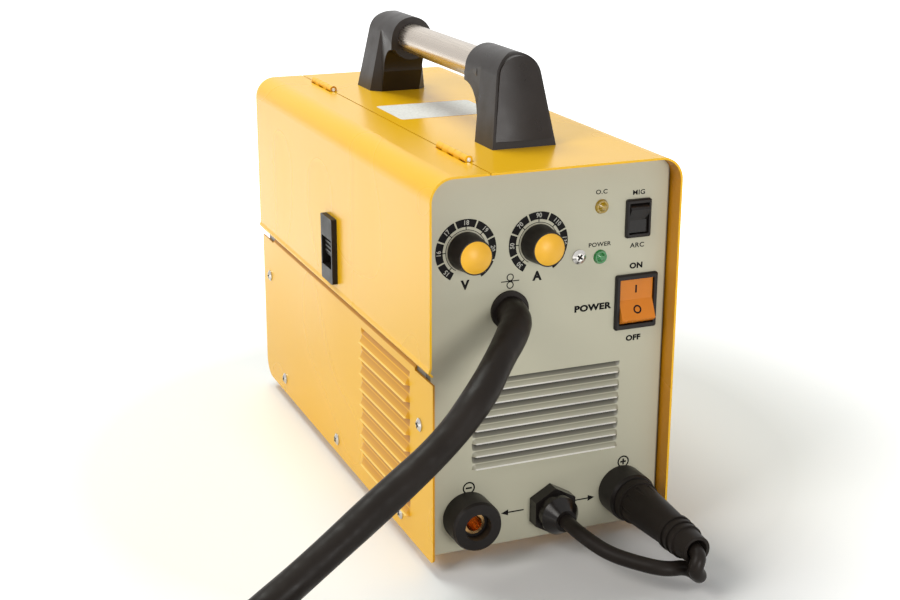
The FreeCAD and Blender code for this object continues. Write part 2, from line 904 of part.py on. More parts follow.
def handle_bracket(end):
    """One moulded bracket. end is -1 at the front and 1 at the rear."""
    outer_y = -handle_y
    axis_z = handle_axis_height
    tilt = math.asin(handle_head_radius / math.hypot(handle_base_half, axis_z))
    rise = math.atan2(axis_z, handle_base_half) + tilt
    touch_x = handle_head_radius * math.sin(rise)
    touch_z = axis_z + handle_head_radius * math.cos(rise)
    arch = Part.Arc(
        Vec(touch_x, 0, touch_z), Vec(0, 0, axis_z + handle_head_radius), Vec(-touch_x, 0, touch_z)
    )
    corners = at_xz(
        [(-touch_x, touch_z), (-handle_base_half, 0), (handle_base_half, 0), (touch_x, touch_z)], 0
    )
    sides = [Part.LineSegment(corners[i], corners[i + 1]).toShape() for i in range(3)]
    head_on = Part.Face(Part.Wire([arch.toShape()] + sides)).extrude(Y_AXIS * handle_boss_reach)

    crown = axis_z + handle_head_radius
    lean = Vec(0, handle_lean, crown - handle_rim * 4).normalize()
    arch_z = axis_z - handle_head_radius / 2 - handle_arch_radius
    start_z = arch_z
    arch_end = arch_z + handle_arch_radius
    swoop = Part.Arc(
        Vec(0, handle_boss_reach, arch_end),
        Vec(
            0, handle_boss_reach - handle_arch_radius * math.sin(math.pi / 4),
            arch_z + handle_arch_radius * math.cos(math.pi / 4),
        ),
        Vec(0, handle_boss_reach - handle_arch_radius, start_z),
    ).toShape()
    outer_top = lean * (crown / lean.z)
    shoulder = handle_rim * 4
    round_start = lean * ((crown - shoulder) / lean.z)
    round_end = Vec(0, outer_top.y + shoulder, crown)
    round_mid = (round_start + round_end) * 0.5 + (outer_top - (round_start + round_end) * 0.5) * 0.41
    rounding = Part.Arc(round_start, round_mid, round_end).toShape()
    lines = [
        (round_end, Vec(0, handle_boss_reach, crown)),
        (Vec(0, handle_boss_reach, crown), Vec(0, handle_boss_reach, arch_end)),
        (Vec(0, handle_boss_reach - handle_arch_radius, start_z), Vec(0, handle_leg_depth, 0)),
        (Vec(0, handle_leg_depth, 0), Vec(0, 0, 0)),
        (Vec(0, 0, 0), round_start),
    ]
    edges = [Part.LineSegment(a, b).toShape() for a, b in lines]
    wire = Part.Wire([rounding, edges[0], edges[1], swoop, edges[2], edges[3], edges[4]])
    side_on = Part.Face(wire).extrude(X_AXIS * (2 * handle_base_half))
    side_on.translate(Vec(-handle_base_half, 0, 0))

    corner = handle_base_half - handle_chamfer
    plan = [
        (-handle_base_half, -1),
        (handle_base_half, -1),
        (handle_base_half, handle_leg_depth - handle_chamfer),
        (corner, handle_leg_depth),
        (corner + 1, handle_boss_reach),
        (-corner - 1, handle_boss_reach),
        (-corner, handle_leg_depth),
        (-handle_base_half, handle_leg_depth - handle_chamfer),
    ]
    from_above = prism(at_xy(plan, 0), Z_AXIS * crown)
    leg = head_on.common(side_on).common(from_above)
    boss_start = handle_boss_reach - handle_arch_radius
    boss = rod(handle_head_radius, Vec(0, boss_start, axis_z), Y_AXIS, handle_arch_radius)

    pad_half = handle_base_half - handle_rim
    pad_arc = Part.Arc(Vec(pad_half, 0, 0), Vec(0, -handle_bulge, 0), Vec(-pad_half, 0, 0)).toShape()
    pad_back = rounded_pad_back(pad_half)
    pad = Part.Face(Part.Wire([pad_arc] + pad_back)).extrude(lean * (crown / lean.z))
    shrink = (handle_head_radius - handle_rim) / handle_head_radius
    pad_window = head_on.copy()
    pad_window.translate(Vec(0, -handle_boss_reach / 2, -axis_z))
    squeeze = FreeCAD.Matrix()
    squeeze.scale(shrink, 1, shrink)
    pad_window = pad_window.transformGeometry(squeeze)
    pad_window.translate(Vec(0, 0, axis_z))
    pad = pad.common(pad_window)
    body = fused([leg, boss, pad])
    body = body.common(box(-case_width, case_width, -case_width, case_width, 0, crown))
    socket = rod(
        tube_radius + running_gap, Vec(0, handle_boss_reach - tube_insertion, axis_z), Y_AXIS,
        tube_insertion + 1,
    )
    body = body.cut(socket)
    body.translate(Vec(handle_x, outer_y, top))
    if end > 0:
        body = body.mirror(Vec(0, 0, 0), Y_AXIS)
    return body


def rounded_pad_back(half):
    """The three straight edges that close the outline of a bracket's raised front."""
    depth = handle_leg_depth / 3
    points = [Vec(-half, 0, 0), Vec(-half, depth, 0), Vec(half, depth, 0), Vec(half, 0, 0)]
    return [Part.LineSegment(points[i], points[i + 1]).toShape() for i in range(3)]


def handle_brackets():
    return group([handle_bracket(-1), handle_bracket(1)])


def handle_tube():
    end_y = handle_y - handle_boss_reach + tube_insertion
    start = Vec(handle_x, -end_y, top + handle_axis_height)
    outer = rod(tube_radius, start, Y_AXIS, 2 * end_y)
    return outer.cut(rod(tube_radius - tube_wall, start, Y_AXIS, 2 * end_y))


# Feet and screws


def foot_places():
    return [(x, y) for x in (-foot_x, foot_x) for y in (-foot_y, foot_y)]


def rubber_feet():
    feet = []
    for x, y in foot_places():
        feet.append(cone(foot_low_radius, foot_radius, Vec(x, y, 0), Z_AXIS, foot_height))
    return group(feet)


def side_screws():
    """Every side screw as its head's seat and outward direction."""
    screws = []
    for y, height in side_screw_spots:
        screws.append((lower_side_x, y, bottom + height, -1))
        screws.append((right, y, bottom + height, 1))
    return screws


def handle_screw_places():
    middle = handle_y - handle_leg_depth / 2
    spots = []
    for y in (-middle, middle):
        for x in (handle_x - handle_screw_offset, handle_x + handle_screw_offset):
            spots.append((x, y))
    return spots


def domed_screw(seat, outward, head_radius, head_height, shank_radius, length):
    """A screw with a low domed head that sits on its seat."""
    edge = head_height * 0.4
    rim = rod(head_radius, seat, outward, edge)
    dome = cone(head_radius, head_radius * 0.55, seat + outward * edge, outward, head_height - edge)
    shank = rod(shank_radius, seat, outward * -1, length)
    return fused([rim, dome, shank])


def case_screws():
    screws = []
    for x, y, z, side in side_screws():
        seat = Vec(x, y, z)
        screws.append(
            domed_screw(
                seat, X_AXIS * side, screw_head_radius, screw_head_height, screw_shank_radius, screw_length
            ),
        )
    x, z = place(panel_screw_place)
    seat = Vec(x, panel_face, z)
    screws.append(
        domed_screw(
            seat, -Y_AXIS, panel_screw_head_radius, screw_head_height, screw_shank_radius, screw_length
        ),
    )
    for x, y in handle_screw_places():
        seat = Vec(x, y, inner_top)
        screws.append(
            domed_screw(
                seat, -Z_AXIS, handle_screw_head_radius, handle_screw_head_height, handle_screw_radius,
                sheet,
            )
        )
    return group(screws)


# Switches, lamps and knobs


def window_half(bezel, rim):
    return (bezel[0] / 2 - rim[0], bezel[1] / 2 - rim[1])


def rocker_reach(bezel, rim):
    """Distance from the rocker's pivot to its ends."""
    half = window_half(bezel, rim)[1] - rocker_end_gap
    return math.hypot(half, rocker_rim_back + rocker_pivot_depth)


def switch_body_size(bezel, rim):
    width = 2 * (window_half(bezel, rim)[0] + switch_wall)
    height = 2 * (rocker_reach(bezel, rim) + rocker_end_gap + switch_wall)
    return width, height


def block_loft(sections, corner):
    """A block with rounded corners that changes size along Y, as (y, width, height) sections."""
    wires = []
    for y, width, height in sections:
        half_w = width / 2
        half_h = height / 2
        corners = [(-half_w, -half_h), (half_w, -half_h), (half_w, half_h), (-half_w, half_h)]
        wires.append(rounded_wire(at_xz(corners, y), [corner] * 4))
    return Part.makeLoft(wires, True, True)


def switch_housing(spot, bezel, rim):
    """Bezel and open box of a rocker switch."""
    x, z = place(spot)
    width, height = bezel
    straight = block_loft([(0, width, height), (-bezel_straight, width, height)], bezel_corner)
    slim = 2 * bezel_taper
    taper = block_loft(
        [(-bezel_straight, width, height), (-bezel_stand, width - slim, height - slim)], bezel_corner
    )
    body_width, body_height = switch_body_size(bezel, rim)
    body = box(-body_width / 2, body_width / 2, 0, switch_depth, -body_height / 2, body_height / 2)
    half_w, half_h = window_half(bezel, rim)
    window = box(-half_w, half_w, -bezel_stand - 1, 1, -half_h, half_h)
    reach = rocker_reach(bezel, rim) + rocker_end_gap
    cavity_depth = rocker_pivot_depth + rocker_hub_radius + 1
    cavity = box(-half_w, half_w, -rocker_rim_back, cavity_depth, -reach, reach)
    pivot = Vec(-body_width / 2 - 1, rocker_pivot_depth, 0)
    pin_hole = rod(rocker_pin_radius + running_gap, pivot, X_AXIS, body_width + 2)
    housing = fused([straight, taper, body]).cut([window, cavity, pin_hole])
    return moved(housing, x, panel_face, z)


def rocker(spot, bezel, rim, rest_turn):
    """A rocker with its two sloping halves, held at rest by turning it about its pivot."""
    x, z = place(spot)
    reach = rocker_reach(bezel, rim)
    tilt = math.radians(rocker_tilt)
    pivot_y = rocker_pivot_depth
    corner_angle = math.asin((rocker_pressed_stand + pivot_y) / reach) + tilt
    skirt_angle = math.asin((pivot_y - rocker_skirt) / reach)
    middle_angle = (corner_angle + skirt_angle) / 2

    def on_end(angle, side):
        return Vec(0, pivot_y - reach * math.sin(angle), side * reach * math.cos(angle))

    valley = Vec(0, on_end(corner_angle, 1).y + reach * math.cos(corner_angle) * math.tan(tilt), 0)
    edges = []
    for side in (1, -1):
        arc = Part.Arc(on_end(corner_angle, side), on_end(middle_angle, side), on_end(skirt_angle, side))
        edges.append(arc.toShape())
        edges.append(Part.LineSegment(valley, on_end(corner_angle, side)).toShape())
    edges.append(Part.LineSegment(on_end(skirt_angle, 1), on_end(skirt_angle, -1)).toShape())
    outline = Part.Wire(Part.__sortEdges__(edges))
    half_w = window_half(bezel, rim)[0] - rocker_side_gap
    paddle = Part.Face(outline).extrude(X_AXIS * (2 * half_w))
    paddle.translate(Vec(-half_w, 0, 0))
    hub = rod(rocker_hub_radius, Vec(-half_w, pivot_y, 0), X_AXIS, 2 * half_w)
    pin_reach = half_w + rocker_side_gap + rocker_pin_length
    pins = rod(rocker_pin_radius, Vec(-pin_reach, pivot_y, 0), X_AXIS, 2 * pin_reach)
    button = fused([paddle, hub, pins])
    button = turned(button, rest_turn, Vec(0, pivot_y, 0), X_AXIS)
    return moved(button, x, panel_face, z)


def switch_housings():
    power = switch_housing(power_switch_place, power_bezel, power_bezel_rim)
    mode = switch_housing(mode_switch_place, mode_bezel, mode_bezel_rim)
    return group([power, mode])


def power_rocker():
    return rocker(power_switch_place, power_bezel, power_bezel_rim, -rocker_tilt)


def mode_rocker():
    return rocker(mode_switch_place, mode_bezel, mode_bezel_rim, rocker_tilt)


def lamp(spot):
    """A lamp in a round bezel, with its body behind the panel."""
    x, z = place(spot)
    face = Vec(x, panel_face, z)
    bezel = cone(lamp_bezel_radius, lamp_bezel_radius - 0.6, face, -Y_AXIS, 1.4)
    dome = cone(lamp_radius, lamp_radius * 0.5, face - Y_AXIS * 1.4, -Y_AXIS, lamp_radius * 0.6)
    neck = rod(lamp_neck_radius, face, Y_AXIS, sheet + pot_body_depth)
    return fused([bezel, dome, neck])


def potentiometer(spot):
    """Body, threaded bushing and nut. The shaft belongs to the knob."""
    x, z = place(spot)
    face = Vec(x, panel_back, z)
    body = rod(pot_body_radius, face, Y_AXIS, pot_body_depth)
    bushing_out = sheet + pot_nut_height + 1
    bushing = rod(bushing_radius, face, -Y_AXIS, bushing_out)
    nut = hexagon(pot_nut_flats, (x, z), pot_nut_height, panel_face - pot_nut_height)
    bore = rod(
        shaft_radius + running_gap, face - Y_AXIS * (bushing_out + 1), Y_AXIS,
        bushing_out + 1 + pot_body_depth / 2,
    )
    return fused([body, bushing, nut]).cut(bore)


def potentiometers():
    return group([potentiometer(voltage_knob_place), potentiometer(current_knob_place)])


def knob(spot):
    """Knob body with its shaft. The underside is hollow over the potentiometer's nut."""
    x, z = place(spot)
    seat = Vec(x, panel_face - knob_stand, z)
    skirt_length = knob_length - knob_stand - knob_cap_height
    body = cone(knob_radius, knob_nose_radius, seat, -Y_AXIS, skirt_length)
    hollow_depth = pot_nut_height + 2
    hollow = rod(pot_nut_flats * 0.65, seat, -Y_AXIS, hollow_depth)
    shaft_length = knob_stand + sheet + pot_body_depth / 2 - 1 + skirt_length
    shaft = rod(shaft_radius, seat - Y_AXIS * skirt_length, Y_AXIS, shaft_length)
    return fused([body.cut(hollow), shaft])


def knob_cap(spot):
    """Domed cap with a raised pointer bar across it."""
    x, z = place(spot)
    seat = Vec(x, panel_face - knob_length + knob_cap_height, z)
    dome_radius = (knob_cap_radius ** 2 + knob_cap_height ** 2) / (2 * knob_cap_height)
    ball = Part.makeSphere(dome_radius, seat + Y_AXIS * (dome_radius - knob_cap_height))
    return ball.common(rod(knob_cap_radius, seat, -Y_AXIS, knob_cap_height + 1))


# Sockets, plug, glands


def socket_shell(spot):
    """Insulating body of an output socket, held by a nut behind the panel."""
    x, z = place(spot)
    face = Vec(x, panel_face, z)
    flange = rod(socket_flange_radius - 0.8, face, -Y_AXIS, socket_stand)
    rim = rod(socket_flange_radius, face, -Y_AXIS, socket_stand - 2)
    lip = cone(
        socket_flange_radius, socket_flange_radius - 0.8, face - Y_AXIS * (socket_stand - 2), -Y_AXIS, 2
    )
    neck = rod(socket_neck_radius, face, Y_AXIS, sheet + socket_nut_height + 2)
    nut = rod(socket_nut_radius, face + Y_AXIS * sheet, Y_AXIS, socket_nut_height)
    mouth = rod(socket_mouth_radius, face - Y_AXIS * (socket_stand + 1), Y_AXIS, socket_mouth_depth + 1)
    seat = rod(contact_outer_radius, face - Y_AXIS * socket_stand, Y_AXIS, contact_length + socket_stand)
    return fused([flange, rim, lip, neck, nut]).cut([mouth, seat])


def socket_contact(spot):
    """Brass contact with a blind bore and a stud at its rear."""
    x, z = place(spot)
    start = Vec(x, panel_face - socket_stand + socket_mouth_depth, z)
    barrel = rod(contact_outer_radius, start, Y_AXIS, contact_length)
    stud = rod(stud_radius, start + Y_AXIS * contact_length, Y_AXIS, stud_length)
    bore = rod(contact_bore_radius, start, Y_AXIS, contact_bore_depth)
    return fused([barrel, stud]).cut(bore)


def output_sockets():
    return group([socket_shell(negative_place), socket_shell(positive_place)])


def socket_contacts():
    return group([socket_contact(negative_place), socket_contact(positive_place)])


def plug_front():
    """Middle of the plug's face against the positive socket."""
    x, z = place(positive_place)
    return Vec(x, panel_face - socket_stand - part_gap / 2, z)


def polarity_plug_sleeve():
    """Grip of the plug: collar, fluted taper, ribbed tail and the hole for the cable."""
    start = plug_front()
    collar = rod(plug_collar_radius, start, -Y_AXIS, plug_collar_length)
    grip_start = start - Y_AXIS * plug_collar_length
    grip = cone(plug_grip_radius, plug_waist_radius, grip_start, -Y_AXIS, plug_grip_length)
    flutes = []
    for index in range(plug_flute_count):
        groove = rod(
            plug_flute_depth * 2,
            Vec(start.x, grip_start.y - 2, start.z + plug_grip_radius + plug_flute_depth), -Y_AXIS,
            plug_grip_length - 6,
        )
        flutes.append(turned(groove, 360 / plug_flute_count * (index + 0.5), start, Y_AXIS))
    tail_start = grip_start - Y_AXIS * plug_grip_length
    tail_length = plug_length - plug_collar_length - plug_grip_length
    tail = cone(plug_waist_radius, plug_end_radius, tail_start, -Y_AXIS, tail_length)
    ribs = []
    for index in range(plug_rib_count):
        rib_start = tail_start - Y_AXIS * (plug_rib_pitch * (index + 0.4))
        share = (index + 0.4) * plug_rib_pitch / tail_length
        rib_radius = plug_waist_radius - (plug_waist_radius - plug_end_radius) * share
        ribs.append(rod(rib_radius + plug_rib_depth, rib_start, -Y_AXIS, plug_rib_pitch / 2))
    body = fused([collar, grip, tail] + ribs)
    end = start - Y_AXIS * plug_length
    mouth = cone(plug_mouth_radius, plug_bore_radius, end, Y_AXIS, plug_mouth_depth)
    cable_hole = fused([mouth, rod(plug_bore_radius, end, Y_AXIS, plug_cable_depth)])
    pin_seat = rod(plug_pin_radius, start - Y_AXIS * (plug_length * 0.3), Y_AXIS, plug_length)
    return body.cut([cable_hole, pin_seat] + flutes)


def polarity_plug_pin():
    """Brass pin of the plug, which fits the socket's bore."""
    start = plug_front()
    reach = part_gap / 2 + socket_mouth_depth + contact_bore_depth - 2
    pin = rod(plug_pin_radius, start - Y_AXIS * (plug_length * 0.3), Y_AXIS, plug_length * 0.3 + reach - 2)
    nose = cone(plug_pin_radius, plug_pin_radius - 1, start + Y_AXIS * (reach - 2), Y_AXIS, 2)
    return fused([pin, nose])


def cable_glands():
    """The polarity lead's gland at the front and the mains lead's gland at the rear."""
    glands = []
    x, z = place(polarity_gland_place)
    glands.append(gland((x, z), polarity_lead_diameter / 2))
    x, z = place(mains_gland_place)
    mains = gland((-x, z), polarity_lead_diameter / 2)
    glands.append(turned(mains, 180, Vec(0, 0, 0), Z_AXIS))
    return group(glands)


def gland(centre, bore):
    """A hexagon with a domed nut outside the front panel and a round nut behind it."""
    x, z = centre
    face = Vec(x, panel_face, z)
    body = hexagon(gland_flats, centre, gland_hex_length, panel_face - gland_hex_length)
    dome_start = face - Y_AXIS * gland_hex_length
    straight = gland_dome_length * 0.45
    nut = rod(gland_dome_radius, dome_start, -Y_AXIS, straight)
    nose = cone(
        gland_dome_radius, bore + 2.2, dome_start - Y_AXIS * straight, -Y_AXIS, gland_dome_length - straight
    )
    neck = rod(gland_neck_radius, face, Y_AXIS, sheet + gland_nut_height + 2)
    lock = rod(gland_dome_radius, face + Y_AXIS * sheet, Y_AXIS, gland_nut_height)
    hole = rod(bore, dome_start - Y_AXIS * gland_dome_length, Y_AXIS, 60)
    return fused([body, nut, nose, neck, lock]).cut(hole)


def torch_grommet():
    """Rubber ring round the torch lead where it leaves the panel."""
    x, z = place(torch_place)
    start = Vec(x, panel_face - grommet_flange, z)
    outside = rod(grommet_radius, start, Y_AXIS, grommet_flange)
    groove = rod(grommet_groove_radius, start, Y_AXIS, 2 * grommet_flange + sheet)
    inside = rod(grommet_radius, Vec(x, panel_back, z), Y_AXIS, grommet_flange)
    hole = rod(torch_lead_diameter / 2, start - Y_AXIS, Y_AXIS, 2 * grommet_flange + sheet + 2)
    return fused([outside, groove, inside]).cut(hole)


# Leads


def route_edges(points):
    """Straight runs and tangent arcs through the route's points, with their radii."""
    edges = []
    radii = []
    last = points[0]
    for index in range(1, len(points) - 1):
        corner = points[index]
        run_in = corner - points[index - 1]
        run_out = points[index + 1] - corner
        half_turn = run_in.getAngle(run_out) / 2
        cut = 0.45 * min(run_in.Length, run_out.Length)
        radius = cut / math.tan(half_turn)
        back = run_in.normalize() * -1
        ahead = run_out.normalize()
        start = corner + back * cut
        end = corner + ahead * cut
        inward = (back + ahead).normalize()
        middle = corner + inward * (radius / math.cos(half_turn) - radius)
        edges.append(Part.LineSegment(last, start).toShape())
        edges.append(Part.Arc(start, middle, end).toShape())
        radii.append(round(radius, 1))
        last = end
    edges.append(Part.LineSegment(last, points[-1]).toShape())
    return edges, radii


def tube_along(edges, diameter, name):
    """A round cable along joined edges. Its volume is compared with length times section."""
    path = Part.Wire(edges)
    start = path.Edges[0].valueAt(path.Edges[0].FirstParameter)
    ahead = path.Edges[0].tangentAt(path.Edges[0].FirstParameter)
    ring = Part.Wire(Part.makeCircle(diameter / 2, start, ahead))
    tube = path.makePipeShell([ring], True, False)
    expected = path.Length * math.pi * diameter ** 2 / 4
    print(name, "length", round(path.Length, 1), "volume share", round(tube.Volume / expected, 4))
    return tube


def torch_route():
    """Points of the torch lead from inside the panel down to the coil's entry."""
    x, z = place(torch_place)
    entry, heading = coil_entry()
    return [
        Vec(x, panel_back + grommet_flange, z),
        Vec(x, -160.5, z),
        Vec(x - 7.6, -171.0, z - 5.2),
        Vec(x - 21.0, -184.5, z - 12.4),
        Vec(x - 37.4, -199.5, z - 24.2),
        Vec(x - 61.0, -209.0, z - 43.2),
        Vec(x - 97.0, -220.0, z - 62.2),
        Vec(x - 136.2, -231.5, z - 83.3),
        Vec(x - 165.0, -237.5, z - 99.5),
        Vec(x - 194.7, -250.5, z - 110.5),
        entry - heading * 29,
        entry,
    ]


def torch_lead():
    edges, radii = route_edges(torch_route())
    print("torch_lead radii", radii)
    return tube_along(edges, torch_lead_diameter, "torch_lead")


def polarity_route():
    """Points of the polarity lead from its gland round to the plug's rear."""
    x, z = place(polarity_gland_place)
    plug = plug_front() - Y_AXIS * (plug_length - plug_cable_depth)
    return [
        Vec(x, panel_face - gland_hex_length + 2, z),
        Vec(x, -177.0, z),
        Vec(x + 2.1, -189.8, z - 1.5),
        Vec(x + 8.8, -202.3, z - 5.5),
        Vec(x + 19.5, -214.0, z - 7.5),
        Vec(x + 30.0, -225.2, z - 8.0),
        Vec(plug.x + 0.5, -222.4, plug.z - 13.6),
        Vec(plug.x + 2.2, -233.6, plug.z - 14.8),
        Vec(plug.x - 4.5, -237.0, plug.z - 7.7),
        Vec(plug.x, -235.2, plug.z),
        plug,
    ]


def polarity_lead():
    edges, radii = route_edges(polarity_route())
    print("polarity_lead radii", radii)
    return tube_along(edges, polarity_lead_diameter, "polarity_lead")


def coil_heights():
    lower = torch_lead_diameter / 2 + coil_ground_gap
    return lower, lower + coil_layer_height


def coil_point(angle, reach, height):
    turn = math.radians(angle)
    return Vec(coil_x + reach * math.cos(turn), coil_y + reach * math.sin(turn), height)


def coil_heading(angle):
    turn = math.radians(angle)
    return Vec(-math.sin(turn), math.cos(turn), 0)


def coil_entry():
    """Start of the coil, one diameter before its first bend, and the lead's heading there."""
    heading = coil_heading(coil_entry_angle)
    first = coil_point(coil_entry_angle, coil_outer_radius, coil_heights()[1])
    return first - heading * torch_lead_diameter, heading


def flat_half_turn(angle, reach, next_reach, height, share):
    """Part of a half turn in one layer. Returns its arc and its end."""
    centre = coil_point(angle, (reach - next_reach) / 2, height)
    radius = (reach + next_reach) / 2
    points = []
    for part in (0, share / 2, share):
        turn = math.radians(angle + 180 * part)
        points.append(centre + Vec(math.cos(turn), math.sin(turn), 0) * radius)
    return Part.Arc(points[0], points[1], points[2]).toShape(), points[2]


def biarc(start, start_heading, end, end_heading):
    """Two tangent arcs between two points with given headings."""
    chord = end - start
    total = start_heading + end_heading
    a = 2 * (1 - start_heading.dot(end_heading))
    b = 2 * chord.dot(total)
    c = -chord.dot(chord)
    reach = (-b + math.sqrt(b * b - 4 * a * c)) / (2 * a)
    first_corner = start + start_heading * reach
    second_corner = end - end_heading * reach
    joint = (first_corner + second_corner) * 0.5
    edges = []
    for a_point, corner, b_point in ((start, first_corner, joint), (joint, second_corner, end)):
        middle = (a_point + b_point) * 0.5
        half_chord = (b_point - a_point).Length / 2
        sagitta = half_chord * math.tan(math.atan2((corner - middle).Length, half_chord) / 2)
        crest = middle + (corner - middle).normalize() * sagitta
        edges.append(Part.Arc(a_point, crest, b_point).toShape())
    return edges


def coil_edges():
    """Inward spiral in the upper layer, a climb down, and an outward spiral in the lower one."""
    low, high = coil_heights()
    entry, _ = coil_entry()
    angle = coil_entry_angle
    reach = coil_outer_radius
    first = coil_point(angle, reach, high)
    edges = [Part.LineSegment(entry, first).toShape()]
    for _ in range(coil_upper_half_turns):
        arc, _ = flat_half_turn(angle, reach, reach - coil_pitch / 2, high, 1)
        edges.append(arc)
        reach -= coil_pitch / 2
        angle += 180
    start = coil_point(angle, reach, high)
    middle_reach = (reach + coil_inner_radius) / 2
    middle = coil_point(angle + 90, middle_reach, (low + high) / 2)
    middle -= coil_heading(angle + 90) * ((reach - coil_inner_radius) / 2)
    drop = 2 * coil_layer_height / (math.pi * middle_reach)
    middle_heading = (coil_heading(angle + 90) - Z_AXIS * drop).normalize()
    end = coil_point(angle + 180, coil_inner_radius, low)
    edges += biarc(start, coil_heading(angle), middle, middle_heading)
    edges += biarc(middle, middle_heading, end, coil_heading(angle + 180))
    angle += 180
    reach = coil_inner_radius
    next_reach = coil_outer_radius - 2 * coil_pitch / 2
    for _ in range(coil_lower_half_turns):
        arc, _ = flat_half_turn(angle, reach, next_reach, low, 1)
        edges.append(arc)
        reach = next_reach
        next_reach += coil_pitch / 2
        angle += 180
    share = ((coil_exit_angle - angle) % 360) / 180
    arc, last = flat_half_turn(angle, reach, next_reach, low, share)
    edges.append(arc)
    leave = coil_heading(coil_exit_angle)
    edges.append(Part.LineSegment(last, last + leave * torch_lead_diameter).toShape())
    return edges, last + leave * torch_lead_diameter


def least_coil_gap(edges):
    """Smallest clear distance between turns, from points along the coil's centre line."""
    step = torch_lead_diameter / 4
    samples = []
    along = 0
    for edge in edges:
        count = max(2, int(edge.Length / step))
        for point in edge.discretize(count + 1)[1:]:
            samples.append((along, point))
            along += edge.Length / count
    apart = 6 * torch_lead_diameter
    gaps = []
    for index, (s, point) in enumerate(samples):
        for t, other in samples[index + 1:]:
            if t - s > apart:
                gaps.append((point - other).Length)
    return min(gaps) - torch_lead_diameter


def torch_lead_coil():
    edges, _ = coil_edges()
    print("torch_lead_coil least gap", round(least_coil_gap(edges), 2))
    return tube_along(edges, torch_lead_diameter, "torch_lead_coil")


# Torch


def tail_slope():
    """Slope of the lead's last run and of the boot, up to the torch's axis."""
    low = coil_heights()[0]
    run = tail_second_run + boot_length
    return (torch_axis_height - low) / run


def tail_route():
    """The lead's last piece, which rises from the coil's end into the boot."""
    start = coil_edges()[1]
    leave = coil_heading(coil_exit_angle)
    corner = start + leave * tail_first_run
    end = corner + (leave + Z_AXIS * tail_slope()) * tail_second_run
    return [start, corner, end]


def torch_lead_tail():
    edges, radii = route_edges(tail_route())
    print("torch_lead_tail radii", radii)
    return tube_along(edges, torch_lead_diameter, "torch_lead_tail")


def torch_placed(shape):
    """Moves a torch piece from its own frame, X along the handle, to where the torch lies."""
    end = tail_route()[2]
    rear = end + coil_heading(coil_exit_angle) * boot_length
    copy = turned(shape, coil_exit_angle + 90, Vec(0, 0, 0), Z_AXIS)
    return moved(copy, rear.x, rear.y, torch_axis_height)


def bar_loft(sections):
    """A bar along X with rounded sections given as (x, width, thickness, corner)."""
    wires = []
    for x, width, thickness, corner in sections:
        half_w = width / 2
        half_t = thickness / 2
        corners = [(-half_w, -half_t), (half_w, -half_t), (half_w, half_t), (-half_w, half_t)]
        wires.append(rounded_wire(at_yz(corners, x), [corner] * 4))
    return Part.makeLoft(wires, True, False)


def torch_boot():
    """Ribbed rubber sleeve over the lead where it enters the handle."""
    rise = boot_length * tail_slope()
    start = Vec(-boot_length, 0, -rise)
    along = Vec(boot_length, 0, rise)
    axis = Vec(along).normalize()
    length = along.Length
    sleeve = cone(boot_tail_radius, boot_radius, start, axis, length)
    ribs = []
    for index in range(boot_rib_count):
        share = (index + 0.5) / (boot_rib_count + 1)
        radius = boot_tail_radius + (boot_radius - boot_tail_radius) * share
        ribs.append(
            rod(radius + 0.8, start + axis * (length * share), axis, length / (boot_rib_count + 1) / 2)
        )
    return torch_placed(
        fused([sleeve] + ribs).common(box(-boot_length, 0, -50, 50, -torch_axis_height, 50))
    )


def torch_handle():
    length = torch_handle_length
    width = torch_handle_width
    thick = torch_handle_thickness
    end = torch_handle_end
    sections = [
        (0, end, end, 8),
        (length * 0.12, end + 3, end + 2, 9),
        (length * 0.45, width - 3, thick, 10),
        (length * 0.75, width, thick, 10),
        (length, end, end - 2, 8),
    ]
    body = bar_loft(sections)
    pocket_low = width / 2 - trigger_pocket
    pocket_half = trigger_width / 2 + fit_gap
    pocket = box(
        trigger_start - fit_gap * 2, trigger_start + trigger_length + fit_gap * 2,
        pocket_low, width, -pocket_half, pocket_half,
    )
    hole = trigger_pivot()
    pin_hole = rod(
        trigger_pin_radius + running_gap, Vec(hole.x, hole.y, -pocket_half - 2), Z_AXIS, 2 * pocket_half + 4
    )
    return torch_placed(body.cut([pocket, pin_hole]))


def trigger_pivot():
    """Trigger pivot in the torch's own frame, near the pocket's front end."""
    x = trigger_start + trigger_length - trigger_pin_radius * 2
    y = torch_handle_width / 2 - trigger_pocket / 2 - trigger_pin_radius
    return Vec(x, y, 0)


def torch_trigger():
    """Curved trigger with its pivot pin, standing proud of the handle."""
    pivot = trigger_pivot()
    face = torch_handle_width / 2 + trigger_stand
    low = pivot.y + trigger_pin_radius
    end = trigger_start + trigger_length
    outline = [
        (trigger_start, low + 0.5),
        (end - 1, pivot.y - trigger_pin_radius * 2),
        (end, torch_handle_width / 2 - 1),
        (end - 6, face - 2),
        (trigger_start + 6, face),
        (trigger_start, face - 3),
    ]
    blade = prism(at_xy(outline, -trigger_width / 2), Z_AXIS * trigger_width, [0, 2, 1, 4, 4, 2])
    pin = rod(
        trigger_pin_radius, Vec(pivot.x, pivot.y, -trigger_width / 2 - fit_gap - 1.5), Z_AXIS,
        trigger_width + 2 * fit_gap + 3,
    )
    return torch_placed(fused([blade, pin]))


def neck_frame():
    """End and heading of the neck's bend in the torch's own frame."""
    start_x = torch_handle_length + torch_neck_straight
    angle = math.radians(torch_neck_angle)
    end = Vec(start_x + torch_neck_bend * math.sin(angle), torch_neck_bend * (1 - math.cos(angle)), 0)
    return end, Vec(math.cos(angle), math.sin(angle), 0)


